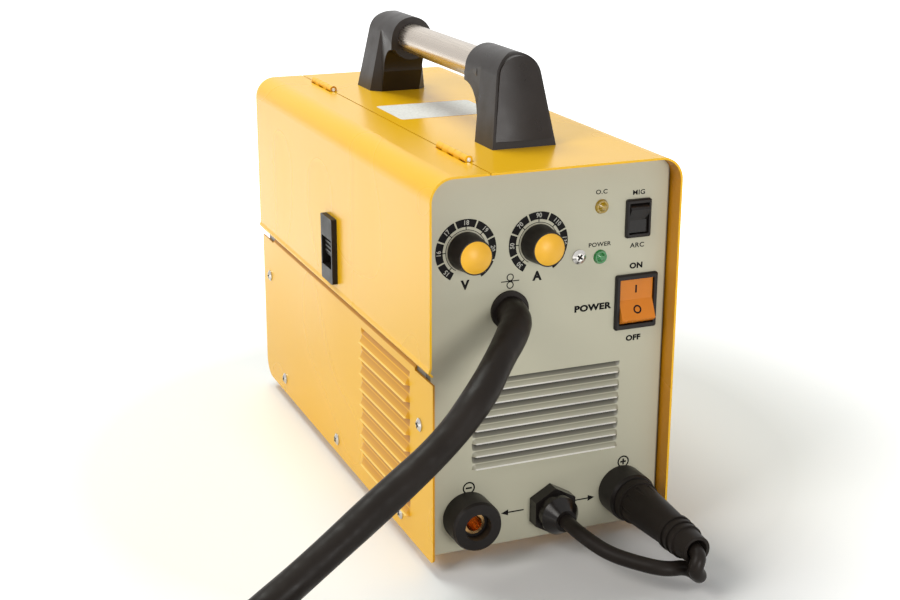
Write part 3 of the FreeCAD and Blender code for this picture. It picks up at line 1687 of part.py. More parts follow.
def torch_neck():
    """Bent neck with the collar and gas diffuser that carry nozzle and tip."""
    start = Vec(torch_handle_length, 0, 0)
    bend_start = start + X_AXIS * torch_neck_straight
    end, heading = neck_frame()
    half = math.radians(torch_neck_angle / 2)
    crest = bend_start + Vec(torch_neck_bend * math.sin(half), torch_neck_bend * (1 - math.cos(half)), 0)
    edges = [
        Part.LineSegment(start, bend_start).toShape(),
        Part.Arc(bend_start, crest, end).toShape(),
        Part.LineSegment(end, end + heading * torch_neck_nose).toShape(),
    ]
    path = Part.Wire(edges)
    ring = Part.Wire(Part.makeCircle(torch_neck_radius, start, X_AXIS))
    tube = path.makePipeShell([ring], True, False)
    tip = end + heading * torch_neck_nose
    collar = rod(neck_collar_radius, tip, heading, neck_collar_length)
    diffuser = rod(diffuser_radius, tip, heading, neck_collar_length + diffuser_length)
    return torch_placed(fused([tube, collar, diffuser]))


def torch_nozzle():
    """Hollow gas nozzle over the neck's collar."""
    end, heading = neck_frame()
    start = end + heading * torch_neck_nose
    straight = nozzle_length * 0.7
    outer = fused([
        rod(nozzle_radius, start, heading, straight),
        cone(
            nozzle_radius, nozzle_tip_radius, start + heading * straight, heading, nozzle_length - straight
        ),
    ])
    hollow = fused([
        rod(nozzle_radius - nozzle_wall, start, heading, straight),
        cone(
            nozzle_radius - nozzle_wall, nozzle_tip_radius - nozzle_wall, start + heading * straight,
            heading, nozzle_length - straight,
        ),
    ])
    return torch_placed(outer.cut(hollow))


def torch_contact_tip():
    """Copper tip with the wire's hole."""
    end, heading = neck_frame()
    start = end + heading * (torch_neck_nose + neck_collar_length + diffuser_length)
    length = nozzle_length - neck_collar_length - diffuser_length - contact_tip_recess
    body = rod(contact_tip_radius, start, heading, length - 3)
    nose = cone(contact_tip_radius, contact_tip_radius - 1.2, start + heading * (length - 3), heading, 3)
    hole = rod(0.5, start + heading * (length / 2), heading, length)
    return torch_placed(fused([body, nose]).cut(hole))


# Wire bay


def bay_partition():
    """Upright wall and shelf that part the wire bay from the power electronics."""
    wall_x = bay_partition_x
    shelf_left = lower_side_x + lip_shift + sheet
    path = [(shelf_left, bay_shelf_z), (wall_x, bay_shelf_z), (wall_x, inner_top - sheet - part_gap)]
    depth = -2 * panel_back
    wall = folded_sheet(at_xz(path, -panel_back), [0, bend_radius, 0], sheet, Y_AXIS, -Y_AXIS * depth)
    board_back = panel_back + pot_body_depth + board_thickness
    notch = box(
        wall_x - 2, wall_x + 2, panel_back - 1, board_back + part_gap,
        bottom + control_board_low - part_gap, top,
    )
    shaft_hole = rod(feed_shaft_radius + 3, Vec(wall_x - 2, feed_roll_y, drive_roll_z()), X_AXIS, 4)
    fan_x, fan_z = place(fan_place)
    reach = fan_size / 2 + part_gap
    fan_front = -panel_back - fan_depth - part_gap
    fan_room = box(fan_x - reach, fan_x + reach, fan_front, rear, fan_z - reach, fan_z + reach)
    return wall.cut([notch, shaft_hole, fan_room, tongue_room(), front_louvre_room()])


def wire_height():
    return place(torch_place)[1]


def wire_x():
    return place(torch_place)[0]


def drive_roll_z():
    return wire_height() - feed_nip / 2 - feed_roll_radius


def pressure_roll_z():
    return wire_height() + feed_nip / 2 + pressure_roll_radius


def spool_z():
    return bay_shelf_z + spool_radius + spool_floor_gap


def spool_spindle():
    """Axle on the partition with a brake collar behind the spool."""
    collar_x = spool_outer_x + spool_width + spool_side_gap
    centre = Vec(bay_partition_x, spool_y, spool_z())
    collar = rod(spindle_collar_radius, centre, -X_AXIS, bay_partition_x - collar_x)
    shoulder = spool_outer_x - spool_side_gap
    axle = rod(spindle_radius, centre, -X_AXIS, bay_partition_x - shoulder)
    thread = rod(spindle_radius - 2, centre, -X_AXIS, bay_partition_x - shoulder + spool_nut_height)
    return fused([collar, axle, thread])


def spool_nut():
    start = Vec(spool_outer_x - spool_side_gap, spool_y, spool_z())
    nut = rod(spool_nut_radius, start, -X_AXIS, spool_nut_height)
    bars = []
    for turn in range(0, 360, 60):
        notch = rod(1.6, start + Z_AXIS * (spool_nut_radius + 0.4), -X_AXIS, spool_nut_height)
        bars.append(turned(notch, turn, start, X_AXIS))
    return nut.cut([rod(spindle_radius - 2, start, -X_AXIS, spool_nut_height)] + bars)


def wire_spool():
    """Plastic reel: two flanges, a hub on the spindle and a barrel under the winding."""
    start = Vec(spool_outer_x, spool_y, spool_z())
    hub = rod(spool_bore_radius + 2.5, start, X_AXIS, spool_width)
    barrel = rod(spool_barrel_radius, start, X_AXIS, spool_width)
    barrel = barrel.cut(rod(spool_barrel_radius - 2, start, X_AXIS, spool_width))
    pieces = [hub, barrel]
    for x in (0, spool_width - spool_flange):
        disc = rod(spool_radius, start + X_AXIS * x, X_AXIS, spool_flange)
        holes = []
        middle = (spool_bore_radius + 2.5 + spool_barrel_radius - 2) / 2
        radius = (spool_barrel_radius - spool_bore_radius - 2.5 - 2) / 2 - 0.8
        for index in range(spool_window_count):
            hole = rod(radius, start + X_AXIS * (x - 1) + Z_AXIS * middle, X_AXIS, spool_flange + 2)
            holes.append(turned(hole, 360 / spool_window_count * index, start, X_AXIS))
        pieces.append(disc.cut(holes))
    return fused(pieces).cut(rod(spool_bore_radius, start, X_AXIS, spool_width))


def spool_winding():
    start = Vec(spool_outer_x + spool_flange, spool_y, spool_z())
    width = spool_width - 2 * spool_flange
    wound = rod(spool_winding_radius, start, X_AXIS, width)
    return wound.cut(rod(spool_barrel_radius, start, X_AXIS, width))


def arm_pivot():
    return Vec(wire_x(), arm_pivot_y, wire_height() + arm_pivot_rise)


def tension_pivot():
    return Vec(wire_x() - tension_offset, tension_pivot_y, wire_height() - tension_pivot_drop)


def feed_plate():
    """Mounting plate of the wire feeder with the pins that carry its moving pieces."""
    x0 = bay_partition_x - feed_plate_thickness
    low = wire_height() - feed_plate_drop
    high = wire_height() + feed_plate_rise
    corners = [
        (feed_plate_front, low), (feed_plate_rear, low), (feed_plate_rear, high), (feed_plate_front, high)
    ]
    plate = prism(at_yz(corners, x0), X_AXIS * feed_plate_thickness, [4] * 4)
    pivot = arm_pivot()
    arm_far = wire_x() - arm_width / 2 - part_gap
    arm_pin = rod(arm_pin_radius, Vec(x0, pivot.y, pivot.z), -X_AXIS, x0 - arm_far + 1)
    swing = tension_pivot()
    swing_far = swing.x - tension_eye_width / 2 - part_gap
    swing_pin = rod(tension_pin_radius, Vec(x0, swing.y, swing.z), -X_AXIS, x0 - swing_far + 1)
    near = swing.x + tension_eye_width / 2 + part_gap
    spacer = rod(tension_pin_radius + 1.5, Vec(x0, swing.y, swing.z), -X_AXIS, x0 - near)
    bearing = rod(
        feed_shaft_radius + running_gap, Vec(x0 - 1, feed_roll_y, drive_roll_z()), X_AXIS,
        feed_plate_thickness + 2,
    )
    return fused([plate, arm_pin, swing_pin, spacer]).cut(bearing)


def feed_motor():
    """Gearbox behind the partition and the motor across the case."""
    centre = Vec(bay_partition_x + sheet, feed_roll_y, drive_roll_z())
    length, depth, height = gearbox_size
    gearbox = box(
        centre.x, centre.x + length, centre.y - depth / 2, centre.y + depth / 2, centre.z - height / 2,
        centre.z + height / 2,
    )
    motor_length = inner_right - motor_end_gap - motor_hub_height - length - centre.x
    motor = rod(motor_radius, centre + X_AXIS * length, X_AXIS, motor_length)
    hub = rod(motor_radius / 3, centre + X_AXIS * (length + motor_length), X_AXIS, motor_hub_height)
    bore = rod(feed_shaft_radius + running_gap, centre - X_AXIS, X_AXIS, length / 2 + 1)
    return fused([gearbox, motor, hub]).cut(bore)


def drive_roll():
    """Grooved roll with its shaft and the screw that holds it."""
    centre = Vec(wire_x(), feed_roll_y, drive_roll_z())
    start = centre - X_AXIS * (feed_roll_width / 2)
    roll = rod(feed_roll_radius, start, X_AXIS, feed_roll_width)
    half = feed_groove_depth * 2
    grooves = []
    for shift in (0, feed_roll_width / 4):
        middle = centre + X_AXIS * shift
        waist = feed_roll_radius - feed_groove_depth
        ring = rod(feed_roll_radius + 1, middle - X_AXIS * (half / 2), X_AXIS, half)
        grooves.append(ring.cut(rod(waist, middle - X_AXIS * half, X_AXIS, 2 * half)))
    shaft_end = bay_partition_x + sheet + gearbox_size[0] / 2 - 1
    shaft = rod(feed_shaft_radius, start, X_AXIS, shaft_end - start.x)
    cap = cone(6, 5, start, -X_AXIS, 3)
    return fused([roll, shaft, cap]).cut(grooves)


def pressure_roll():
    centre = Vec(wire_x(), feed_roll_y, pressure_roll_z())
    start = centre - X_AXIS * (pressure_roll_width / 2)
    roll = rod(pressure_roll_radius, start, X_AXIS, pressure_roll_width)
    return roll.cut(rod(axle_radius + running_gap, start, X_AXIS, pressure_roll_width))


def pressure_arm():
    """Forked arm over the pressure roll, with an open slot at its rear for the tension bolt."""
    pivot = arm_pivot()
    roll_z = pressure_roll_z()
    low = roll_z - axle_radius - 2
    high = low + arm_thickness + 2
    outline = [
        (pivot.y - 7, pivot.z - 6),
        (feed_roll_y - 12, low),
        (feed_roll_y + 12, low),
        (tension_pivot_y - 8, high - 8),
        (arm_end_y, high - 8),
        (arm_end_y, high),
        (pivot.y - 7, high),
    ]
    left_x = wire_x() - arm_width / 2
    bar = prism(at_yz(outline, left_x), X_AXIS * arm_width, [3, 3, 3, 3, 0, 2, 4])
    bolt_x = tension_pivot().x
    slot_half = tension_bolt_radius + tension_slot_gap
    slot_y = tension_pivot_y - tension_slot_reach + slot_half
    tab_left = bolt_x - slot_half - tension_tab_wall
    tab_front = tension_pivot_y - tension_slot_reach - tension_tab_wall
    tab = box(tab_left, left_x + 1, tab_front, arm_end_y, high - 8, high)
    roll_half = pressure_roll_width / 2 + part_gap
    roll_gap = box(
        wire_x() - roll_half,
        wire_x() + roll_half,
        feed_roll_y - pressure_roll_radius - 1,
        feed_roll_y + pressure_roll_radius + 1,
        low - 1,
        roll_z + pressure_roll_radius + 1,
    )
    slot = box(bolt_x - slot_half, bolt_x + slot_half, slot_y, arm_end_y + 1, low - 5, high + 1)
    slot_end = rod(slot_half, Vec(bolt_x, slot_y, low - 5), Z_AXIS, high - low + 6)
    bore = rod(arm_pin_radius + running_gap, Vec(left_x - 1, pivot.y, pivot.z), X_AXIS, arm_width + 2)
    axle = rod(axle_radius, Vec(left_x, feed_roll_y, roll_z), X_AXIS, arm_width)
    return fused([bar, tab]).cut([roll_gap, slot, slot_end, bore]).fuse(axle).removeSplitter()


def arm_top():
    return pressure_roll_z() - axle_radius + arm_thickness


def tension_screw():
    """Eye bolt of the tensioner, swung back off the arm."""
    pivot = tension_pivot()
    knob_base = arm_top() - pivot.z + tension_gap
    start_x = pivot.x - tension_eye_width / 2
    eye = rod(tension_pin_radius + 2.5, Vec(start_x, pivot.y, pivot.z), X_AXIS, tension_eye_width)
    bolt = rod(tension_bolt_radius, pivot, Z_AXIS, knob_base + tension_knob_height / 2)
    bore = rod(
        tension_pin_radius + running_gap, Vec(start_x - 1, pivot.y, pivot.z), X_AXIS, tension_eye_width + 2
    )
    screw = fused([eye, bolt]).cut(bore)
    return turned(screw, -tension_release_angle, pivot, X_AXIS)


def tension_knob():
    """Tapered, fluted grip on the tension bolt, with its washer."""
    pivot = tension_pivot()
    base = pivot + Z_AXIS * (arm_top() - pivot.z + tension_gap)
    washer = rod(tension_knob_radius - 1, base, Z_AXIS, tension_washer_height)
    start = base + Z_AXIS * tension_washer_height
    body = cone(tension_knob_radius - 0.8, tension_knob_radius, start, Z_AXIS, tension_knob_height)
    flutes = []
    for turn in range(0, 360, 45):
        groove = rod(1.2, start + X_AXIS * (tension_knob_radius + 0.4), Z_AXIS, tension_knob_height)
        flutes.append(turned(groove, turn, start, Z_AXIS))
    seat = rod(tension_bolt_radius, base, Z_AXIS, tension_knob_height / 2)
    grip = fused([body.cut(flutes), washer]).cut(seat)
    return turned(grip, -tension_release_angle, pivot, X_AXIS)


def wire_guides():
    """Inlet tube from the spool and the outlet block that holds the torch lead's end."""
    x = wire_x()
    z = wire_height()
    plate_x = bay_partition_x - feed_plate_thickness
    nip_clear = feed_roll_radius * 0.85
    tube_radius_outside = guide_bore_radius + guide_wall
    inlet_start = feed_roll_y + nip_clear
    inlet = rod(tube_radius_outside, Vec(x, inlet_start, z), Y_AXIS, feed_plate_rear - inlet_start)
    half_foot = guide_foot_height / 2
    foot_start = feed_plate_rear - guide_foot_length
    inlet_foot = box(
        x - guide_foot_side, plate_x, foot_start, feed_plate_rear, z - half_foot, z + half_foot
    )
    lead_end = panel_back + grommet_flange
    outlet_start = feed_roll_y - nip_clear
    outlet = rod(tube_radius_outside, Vec(x, outlet_start, z), -Y_AXIS, outlet_length)
    block_left = x - outlet_block_side
    block_end = outlet_start - outlet_length
    block = box(block_left, plate_x, lead_end, block_end, z - outlet_block_drop, z + outlet_block_rise)
    bores = rod(guide_bore_radius, Vec(x, lead_end - 1, z), Y_AXIS, feed_plate_rear - lead_end + 2)
    return group([fused([inlet, inlet_foot]).cut(bores), fused([outlet, block]).cut(bores)])


# Power electronics


def heatsinks():
    """Two finned extrusions on insulating legs, in the fan's air stream."""
    sinks = []
    y0 = heatsink_y - heatsink_depth / 2
    low = bottom + sheet + heatsink_leg
    high = low + heatsink_height
    for side in (-1, 1):
        middle = side * (heatsink_gap + heatsink_width) / 2
        x0 = middle - heatsink_width / 2
        pieces = [box(x0, x0 + heatsink_width, y0, y0 + heatsink_depth, high - heatsink_base, high)]
        pitch = (heatsink_width - heatsink_fin) / (heatsink_fin_count - 1)
        for index in range(heatsink_fin_count):
            x = x0 + pitch * index
            pieces.append(box(x, x + heatsink_fin, y0, y0 + heatsink_depth, low, high))
        for x in (x0, x0 + heatsink_width - heatsink_leg / 2):
            for y in (y0, y0 + heatsink_depth - heatsink_leg / 2):
                pieces.append(
                    box(x, x + heatsink_leg / 2, y, y + heatsink_leg / 2, bottom + sheet, low + 1)
                )
        sinks.append(fused(pieces))
    return group(sinks)


def board_z():
    return bottom + sheet + heatsink_leg + heatsink_height + board_gap


def power_board():
    """Circuit board over the heatsinks, on four spacers."""
    half = power_board_width / 2
    y0 = heatsink_y - heatsink_depth / 2
    board = box(-half, half, y0, y0 + heatsink_depth, board_z(), board_z() + board_thickness)
    spacers = []
    middle = (heatsink_gap + heatsink_width) / 2
    for x in (-middle, middle):
        for y in (y0 + 6, y0 + heatsink_depth - 6):
            spacers.append(rod(3, Vec(x, y, board_z() - board_gap), Z_AXIS, board_gap))
    return fused([board] + spacers)


def bus_capacitors():
    cans = []
    for index in range(3):
        y = heatsink_y + capacitor_pitch * (index - 1)
        base = Vec(capacitor_x, y, board_z() + board_thickness)
        can = rod(capacitor_radius, base, Z_AXIS, capacitor_height - 1)
        crown = cone(
            capacitor_radius, capacitor_radius - 1, base + Z_AXIS * (capacitor_height - 1), Z_AXIS, 1
        )
        cans.append(fused([can, crown]))
    return group(cans)


def wound_components():
    """Main transformer and output choke on the base."""
    width, depth, height = core_size
    base = bottom + sheet
    core = box(-width / 2, width / 2, core_y - depth / 2, core_y + depth / 2, base, base + height)
    windows = []
    for side in (-1, 1):
        x = side * (width / 4 + 1)
        windows.append(
            box(
                x - core_window / 2, x + core_window / 2, core_y - depth, core_y + depth, base + 10,
                base + height - 10,
            ),
        )
    limb_half = width / 4 + 1 - core_window / 2 + core_window - 2
    coil = box(
        -limb_half, limb_half, core_y - depth / 2 - winding_wall, core_y + depth / 2 + winding_wall,
        base + 11, base + height - 11,
    )
    ring = Part.makeTorus(
        choke_radius, choke_wire_radius, Vec(choke_x, core_y, base + choke_wire_radius), Z_AXIS
    )
    return group([fused([core.cut(windows), coil]), ring])


def control_board():
    y0 = panel_back + pot_body_depth
    low = bottom + control_board_low
    return box(
        control_board_left, control_board_right, y0, y0 + board_thickness, low, low + control_board_height
    )


def gas_valve():
    """Solenoid valve with the gas inlet's barb through the rear panel."""
    x, z = place(gas_inlet_place)
    width, depth, height = valve_size
    back = -panel_back
    body = box(x - width / 2, x + width / 2, back - depth, back, z - height / 2, z + height / 2)
    coil = rod(valve_coil_radius, Vec(x, back - depth / 2, z - height / 2), -Z_AXIS, valve_coil_height)
    neck = rod(gas_neck_radius, Vec(x, back, z), Y_AXIS, sheet)
    nut = turned(hexagon(17, (-x, z), 4, panel_face - 4), 180, Vec(0, 0, 0), Z_AXIS)
    barb_start = Vec(x, -panel_face + 4, z)
    barb = [rod(gas_barb_radius - 1, barb_start, Y_AXIS, gas_barb_length)]
    for index in range(3):
        step = Vec(0, gas_barb_length / 3 * index, 0)
        barb.append(
            cone(gas_barb_radius, gas_barb_radius - 0.8, barb_start + step, Y_AXIS, gas_barb_length / 3)
        )
    passage = rod(gas_barb_radius - 2.2, Vec(x, back - depth / 2, z), Y_AXIS, depth + gas_barb_length + 10)
    return fused([body, coil, neck, nut] + barb).cut(passage)


# Fan


def fan_centre():
    x, z = place(fan_place)
    return Vec(x, -panel_back - fan_depth / 2, z)


def fan_frame():
    """Square frame with a round duct, a motor boss and three arms at its front."""
    centre = fan_centre()
    front_y = -fan_depth / 2
    frame = rounded_block(fan_size, fan_size, 5, 0, 0, front_y, fan_depth)
    duct = rod(fan_duct_radius, Vec(0, front_y - 1, 0), Y_AXIS, fan_depth + 2)
    frame = frame.cut(duct)
    boss = rod(fan_hub_radius + 1, Vec(0, front_y, 0), Y_AXIS, 3)
    arms = []
    for turn in (90, 210, 330):
        arm = box(0, fan_duct_radius + 1, front_y, front_y + 2.5, -2, 2)
        arms.append(turned(arm, turn, Vec(0, 0, 0), Y_AXIS))
    holes = []
    for dx in (-0.5, 0.5):
        for dz in (-0.5, 0.5):
            spot = Vec(dx * fan_screw_pitch, front_y - 1, dz * fan_screw_pitch)
            holes.append(rod(fan_screw_hole_radius, spot, Y_AXIS, fan_depth + 2))
    axle = rod(fan_axle_radius, Vec(0, front_y, 0), Y_AXIS, fan_depth - 4)
    whole = fused([frame, boss, axle] + arms).cut(holes)
    return moved(whole, centre.x, centre.y, centre.z)


def fan_rotor():
    """Hub with pitched blades on the axle."""
    centre = fan_centre()
    start_y = -fan_depth / 2 + 4
    depth = fan_depth - 6
    hub = rod(fan_hub_radius, Vec(0, start_y, 0), Y_AXIS, depth)
    blades = []
    inner = fan_hub_radius - 1
    for index in range(fan_blade_count):
        blade = box(
            -fan_blade_thickness / 2, fan_blade_thickness / 2, start_y - 6, start_y + depth + 6, inner,
            fan_blade_radius + 2,
        )
        blade = turned(blade, fan_blade_pitch, Vec(0, start_y + depth / 2, 0), Z_AXIS)
        blades.append(turned(blade, 360 / fan_blade_count * index, Vec(0, 0, 0), Y_AXIS))
    limit = rod(fan_blade_radius, Vec(0, start_y + 1, 0), Y_AXIS, depth - 2)
    blades = [blade.common(limit) for blade in blades]
    bore = rod(fan_axle_radius + running_gap, Vec(0, start_y - 1, 0), Y_AXIS, fan_depth - 7)
    whole = fused([hub] + blades).cut(bore)
    return moved(whole, centre.x, centre.y, centre.z)


nodes = {
    "base_tray": base_tray,
    "rubber_feet": rubber_feet,
    "front_panel": front_panel,
    "rear_panel": rear_panel,
    "lower_side_panel": lower_side_panel,
    "right_cover": right_cover,
    "case_screws": case_screws,
    "hinge_pins": hinge_pins,
    "handle_brackets": handle_brackets,
    "handle_tube": handle_tube,
    "bay_partition": bay_partition,
    "output_sockets": output_sockets,
    "socket_contacts": socket_contacts,
    "cable_glands": cable_glands,
    "polarity_lead": polarity_lead,
    "torch_grommet": torch_grommet,
    "torch_lead": torch_lead,
    "torch_lead_coil": torch_lead_coil,
    "torch_lead_tail": torch_lead_tail,
    "switch_housings": switch_housings,
    "overcurrent_lamp": lambda: lamp(overcurrent_lamp_place),
    "power_lamp": lambda: lamp(power_lamp_place),
    "potentiometers": potentiometers,
    "control_board": control_board,
    "power_board": power_board,
    "heatsinks": heatsinks,
    "bus_capacitors": bus_capacitors,
    "wound_components": wound_components,
    "fan_frame": fan_frame,
    "gas_valve": gas_valve,
    "feed_plate": feed_plate,
    "feed_motor": feed_motor,
    "wire_guides": wire_guides,
    "spool_spindle": spool_spindle,
    "spool_nut": spool_nut,
    "torch_boot": torch_boot,
    "torch_handle": torch_handle,
    "torch_neck": torch_neck,
    "torch_nozzle": torch_nozzle,
    "torch_contact_tip": torch_contact_tip,
    "door": door,
    "latch_base": latch_base,
    "latch_slider": latch_slider,
    "voltage_knob": lambda: knob(voltage_knob_place),
    "voltage_knob_cap": lambda: knob_cap(voltage_knob_place),
    "current_knob": lambda: knob(current_knob_place),
    "current_knob_cap": lambda: knob_cap(current_knob_place),
    "power_rocker": power_rocker,
    "mode_rocker": mode_rocker,
    "wire_spool": wire_spool,
    "spool_winding": spool_winding,
    "drive_roll": drive_roll,
    "pressure_arm": pressure_arm,
    "pressure_roll": pressure_roll,
    "tension_screw": tension_screw,
    "tension_knob": tension_knob,
    "fan_rotor": fan_rotor,
    "torch_trigger": torch_trigger,
    "polarity_plug_sleeve": polarity_plug_sleeve,
    "polarity_plug_pin": polarity_plug_pin,
}

os.makedirs("parts", exist_ok=True)
for name, build in nodes.items():
    shape = build()
    if shape.ShapeType == "Compound" and len(shape.Solids) == 1:
        shape = shape.Solids[0]
    if not shape.isValid():
        print("not valid", name)
    shape.exportStep(f"parts/{name}.step")
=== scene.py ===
"""Studio view of the compact MIG welding machine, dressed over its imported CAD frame.

The machine's sizes and the camera's place are in millimetres and become metres through MM. Those of
the floor and the softboxes are in metres. The frame is the part's own: X to the machine's right, Y
towards its rear, Z up, with the floor at zero.
"""

import math

import bmesh
import bpy
from mathutils import Matrix, Vector


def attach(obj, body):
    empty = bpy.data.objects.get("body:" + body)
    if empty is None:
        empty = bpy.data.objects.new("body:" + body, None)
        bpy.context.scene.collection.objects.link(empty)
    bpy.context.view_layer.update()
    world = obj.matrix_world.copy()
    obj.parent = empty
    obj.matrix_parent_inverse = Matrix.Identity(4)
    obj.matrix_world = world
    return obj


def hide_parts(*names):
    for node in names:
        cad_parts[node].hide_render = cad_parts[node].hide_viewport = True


MM = 0.001

# Camera, fitted to the photograph: its place, its angles in radians, its lens and sensor
camera_place = (-342.0, -839.8, 391.1)
camera_yaw = -0.3916
camera_pitch = -0.3110
camera_roll = -0.0028
camera_lens = 61.1
sensor_width = 36.0

# Case: Y of the front panel's face, Z of the top, and the middle of the whole
panel_face = -149.0
case_top = 218.0
case_middle = (0, 0, 110)

# How far a print stands out
ink_thickness = 0.06

# Painted shade and highlights on the pressed sheets, darker in the louvre recesses and on the front panel's
# flanges behind its face, lighter on the louvre lips: distance from the middle of the case, colour, and
# share over the paint
front_painted_shade_and_highlights = [
    (146.2, (0.09, 0.075, 0.05), 0.93),
    (146.8, (0.006, 0.005, 0.004), 1.0),
    (147.4, (0.03, 0.027, 0.02), 1.0),
    (148.8, (0.17, 0.16, 0.12), 0.9),
    (148.98, (0.22, 0.21, 0.16), 0.0),
    (149.05, (0.24, 0.23, 0.17), 0.0),
    (149.2, (0.26, 0.25, 0.18), 0.9),
    (150.3, (0.42, 0.40, 0.31), 0.9),
    (150.5, (0.90, 0.88, 0.80), 1.0),
    (151.2, (1.0, 0.98, 0.92), 1.0),
]
side_painted_shade_and_highlights = [
    (68.2, (0.30, 0.11, 0.0), 1.0),
    (69.2, (0.56, 0.23, 0.0), 1.0),
    (70.2, (0.64, 0.28, 0.0), 1.0),
    (70.38, (0.66, 0.29, 0.0), 0.0),
    (70.42, (0.68, 0.30, 0.0), 0.0),
    (70.6, (0.68, 0.30, 0.0), 1.0),
    (72.0, (0.76, 0.37, 0.0), 1.0),
    (72.3, (0.97, 0.64, 0.12), 1.0),
    (73.0, (1.0, 0.74, 0.25), 1.0),
]

# Painted shade of the cross recesses in the heads of the case screws, as dark flat crosses, then the screws'
# seats: Y and Z at the sides, X and Z in front
screw_head_height = 1.7
screw_cross_reach = 1.9
screw_cross_half = 0.5
screw_cross_turn = 37.0
left_screw_x = -70.4
right_screw_x = 72.0
side_screw_spots = [(143.4, 83.3), (113.7, 17.5), (1.1, 16.6), (-111.2, 16.5), (-140.6, 80.7)]
panel_screw_spot = (16.8, 166.0)

# Marks on the power rocker: Y and Z of its two faces, the lower one's tilt, the stroke and the ring
rocker_x = 51.8
rocker_upper_face = (-149.6, 144.3)
rocker_lower_face = (-151.98, 133.5)
rocker_lower_tilt = 25.0
rocker_line = (-2.0, 2.4)
rocker_line_stroke = 1.0
rocker_ring = (1.5, 2.4)

# Torch lead and its put-away coil
torch_lead_diameter = 16.0
torch_exit = (-23.3, -145.8, 141.5)
torch_route = [
    torch_exit,
    (-23.3, -160.5, 141.5),
    (-30.9, -171.0, 136.3),
    (-44.3, -184.5, 129.1),
    (-60.7, -199.5, 117.3),
    (-84.3, -209.0, 98.3),
    (-120.3, -220.0, 79.3),
    (-159.5, -231.5, 58.2),
    (-188.3, -237.5, 42.0),
    (-218.0, -250.5, 31.0),
]
torch_lead_waver = (1.0, 1.0, 1.07, 0.95, 1.07, 0.94, 1.06, 0.95, 1.04, 0.97)
coil_centre = (-185.0, -359.7)
coil_outer_radius = 96.8
coil_inner_radius = 64.0
coil_pitch = 16.8
coil_low = 8.05
coil_high = 24.65
coil_entry_angle = 145.0
coil_exit_angle = 275.0
coil_upper_half_turns = 3
coil_lower_half_turns = 2
coil_step = 22.5
entry_run = 29.0
torch_axis_height = 15.0
tail_first_run = 14.0
tail_second_run = 18.0
boot_length = 38.0

# Polarity lead, from its gland to its plug
polarity_lead_diameter = 8.0
polarity_exit = (3.0, -155.0, 24.0)
polarity_route = [
    polarity_exit,
    (3.0, -177.0, 24.0),
    (5.1, -189.8, 22.5),
    (11.8, -202.3, 18.5),
    (22.5, -214.0, 16.5),
    (33.0, -225.2, 16.0),
    (48.0, -222.4, 13.4),
    (49.7, -233.6, 12.2),
    (43.0, -237.0, 19.3),
    (47.5, -235.2, 27.0),
    (47.5, -225.3, 27.0),
]

# Dials round the two knobs, with angles in degrees
voltage_knob = (-48.0, 176.0)
current_knob = (-7.0, 176.0)
voltage_numbers = ["15", "16", "17", "18", "19", "20", "21"]
current_numbers = ["30", "50", "70", "90", "110", "130", "150"]
dial_step = 45.0
dial_inner_radius = 12.9
dial_outer_radius = 17.0
dial_gap_angle = 3.2
dial_last_half = 14.0
tick_ring_radius = 11.4
tick_ring_width = 0.35
tick_ring_end = 150.0
tick_length = 1.5
tick_half_angle = 1.2
dial_number_height = 2.4
dial_number_width = 0.9

# Lettering on the front panel: values of its font, then text, X, Z, height of a capital, width share
capital_share = 0.69
letter_spacing = 1.08
bold_share = 0.075
small_bold_share = 0.03
small_height = 2.6
letters = [
    ("V", -48.4, 157.7, 4.6, 1.0),
    ("A", -7.4, 158.1, 4.6, 1.0),
    ("O.C", 29.2, 200.1, 2.3, 1.15),
    ("MIG", 51.5, 197.9, 2.5, 1.15),
    ("ARC", 51.7, 168.8, 2.5, 1.15),
    ("POWER", 29.0, 171.5, 2.2, 1.15),
    ("ON", 51.6, 157.4, 2.9, 1.15),
    ("OFF", 51.5, 116.3, 2.9, 1.15),
    ("POWER", 25.9, 136.7, 3.3, 1.25),
]

# Wire feed sign: two rings of an inner and an outer radius, with the wire between them
feed_sign = (-22.9, 157.1)
feed_sign_ring = (1.5, 2.05)
feed_sign_rise = 2.1
feed_sign_half = 5.2
feed_sign_stroke = 0.55

# Pole signs: a ring with one or two strokes in it
minus_sign = (-45.5, 43.2)
plus_sign = (48.5, 43.2)
pole_ring = (2.75, 3.6)
pole_half = 1.8
pole_stroke = 1.0

# Arrows: start and end in X, and the height
left_arrow = (-12.6, -26.2, 24.6)
right_arrow = (14.9, 31.0, 24.6)
arrow_stroke = 0.75
arrow_head_length = 4.2
arrow_head_half = 1.8

# Blank label on the top
label_x = (-31.5, 29.0)
label_y = (-13.0, 32.0)
label_corner = 2.5
label_corner_steps = 4
label_lift = 0.02
label_thickness = 0.1

# Floor paper: half its width, its grey, where its own white glow starts and is full, and its least glow
floor_half = 6.0
floor_grey = 0.9
glow_start = 0.22
glow_full = 0.52
glow_near = 0.02

# White world round the studio
world_strength = 0.22

# Softboxes: name, place, target, size, watts and colour
softboxes = [
    ("key_left", (-1.4, -0.5, 1.2), (0, 0, 0.12), (0.8, 0.8), 14, (1.0, 0.97, 0.92)),
    ("top", (-0.2, 0.7, 1.7), (0, 0, 0.1), (1.0, 0.8), 22, (0.95, 1.0, 0.95)),
    ("front_fill", (0.1, -2.1, 0.35), (0, -0.1, 0.1), (0.7, 0.7), 17, (1, 1, 1)),
]


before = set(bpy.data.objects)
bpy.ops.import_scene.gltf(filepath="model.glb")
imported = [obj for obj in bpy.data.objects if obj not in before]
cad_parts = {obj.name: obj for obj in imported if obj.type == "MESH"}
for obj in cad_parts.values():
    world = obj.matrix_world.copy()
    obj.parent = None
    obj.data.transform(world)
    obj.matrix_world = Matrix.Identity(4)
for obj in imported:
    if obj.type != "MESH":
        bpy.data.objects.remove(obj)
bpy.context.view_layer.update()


# Small helpers


def metres(point):
    return Vector(point) * MM


def new_object(name, mesh):
    thing = bpy.data.objects.new(name, mesh)
    bpy.context.scene.collection.objects.link(thing)
    return thing


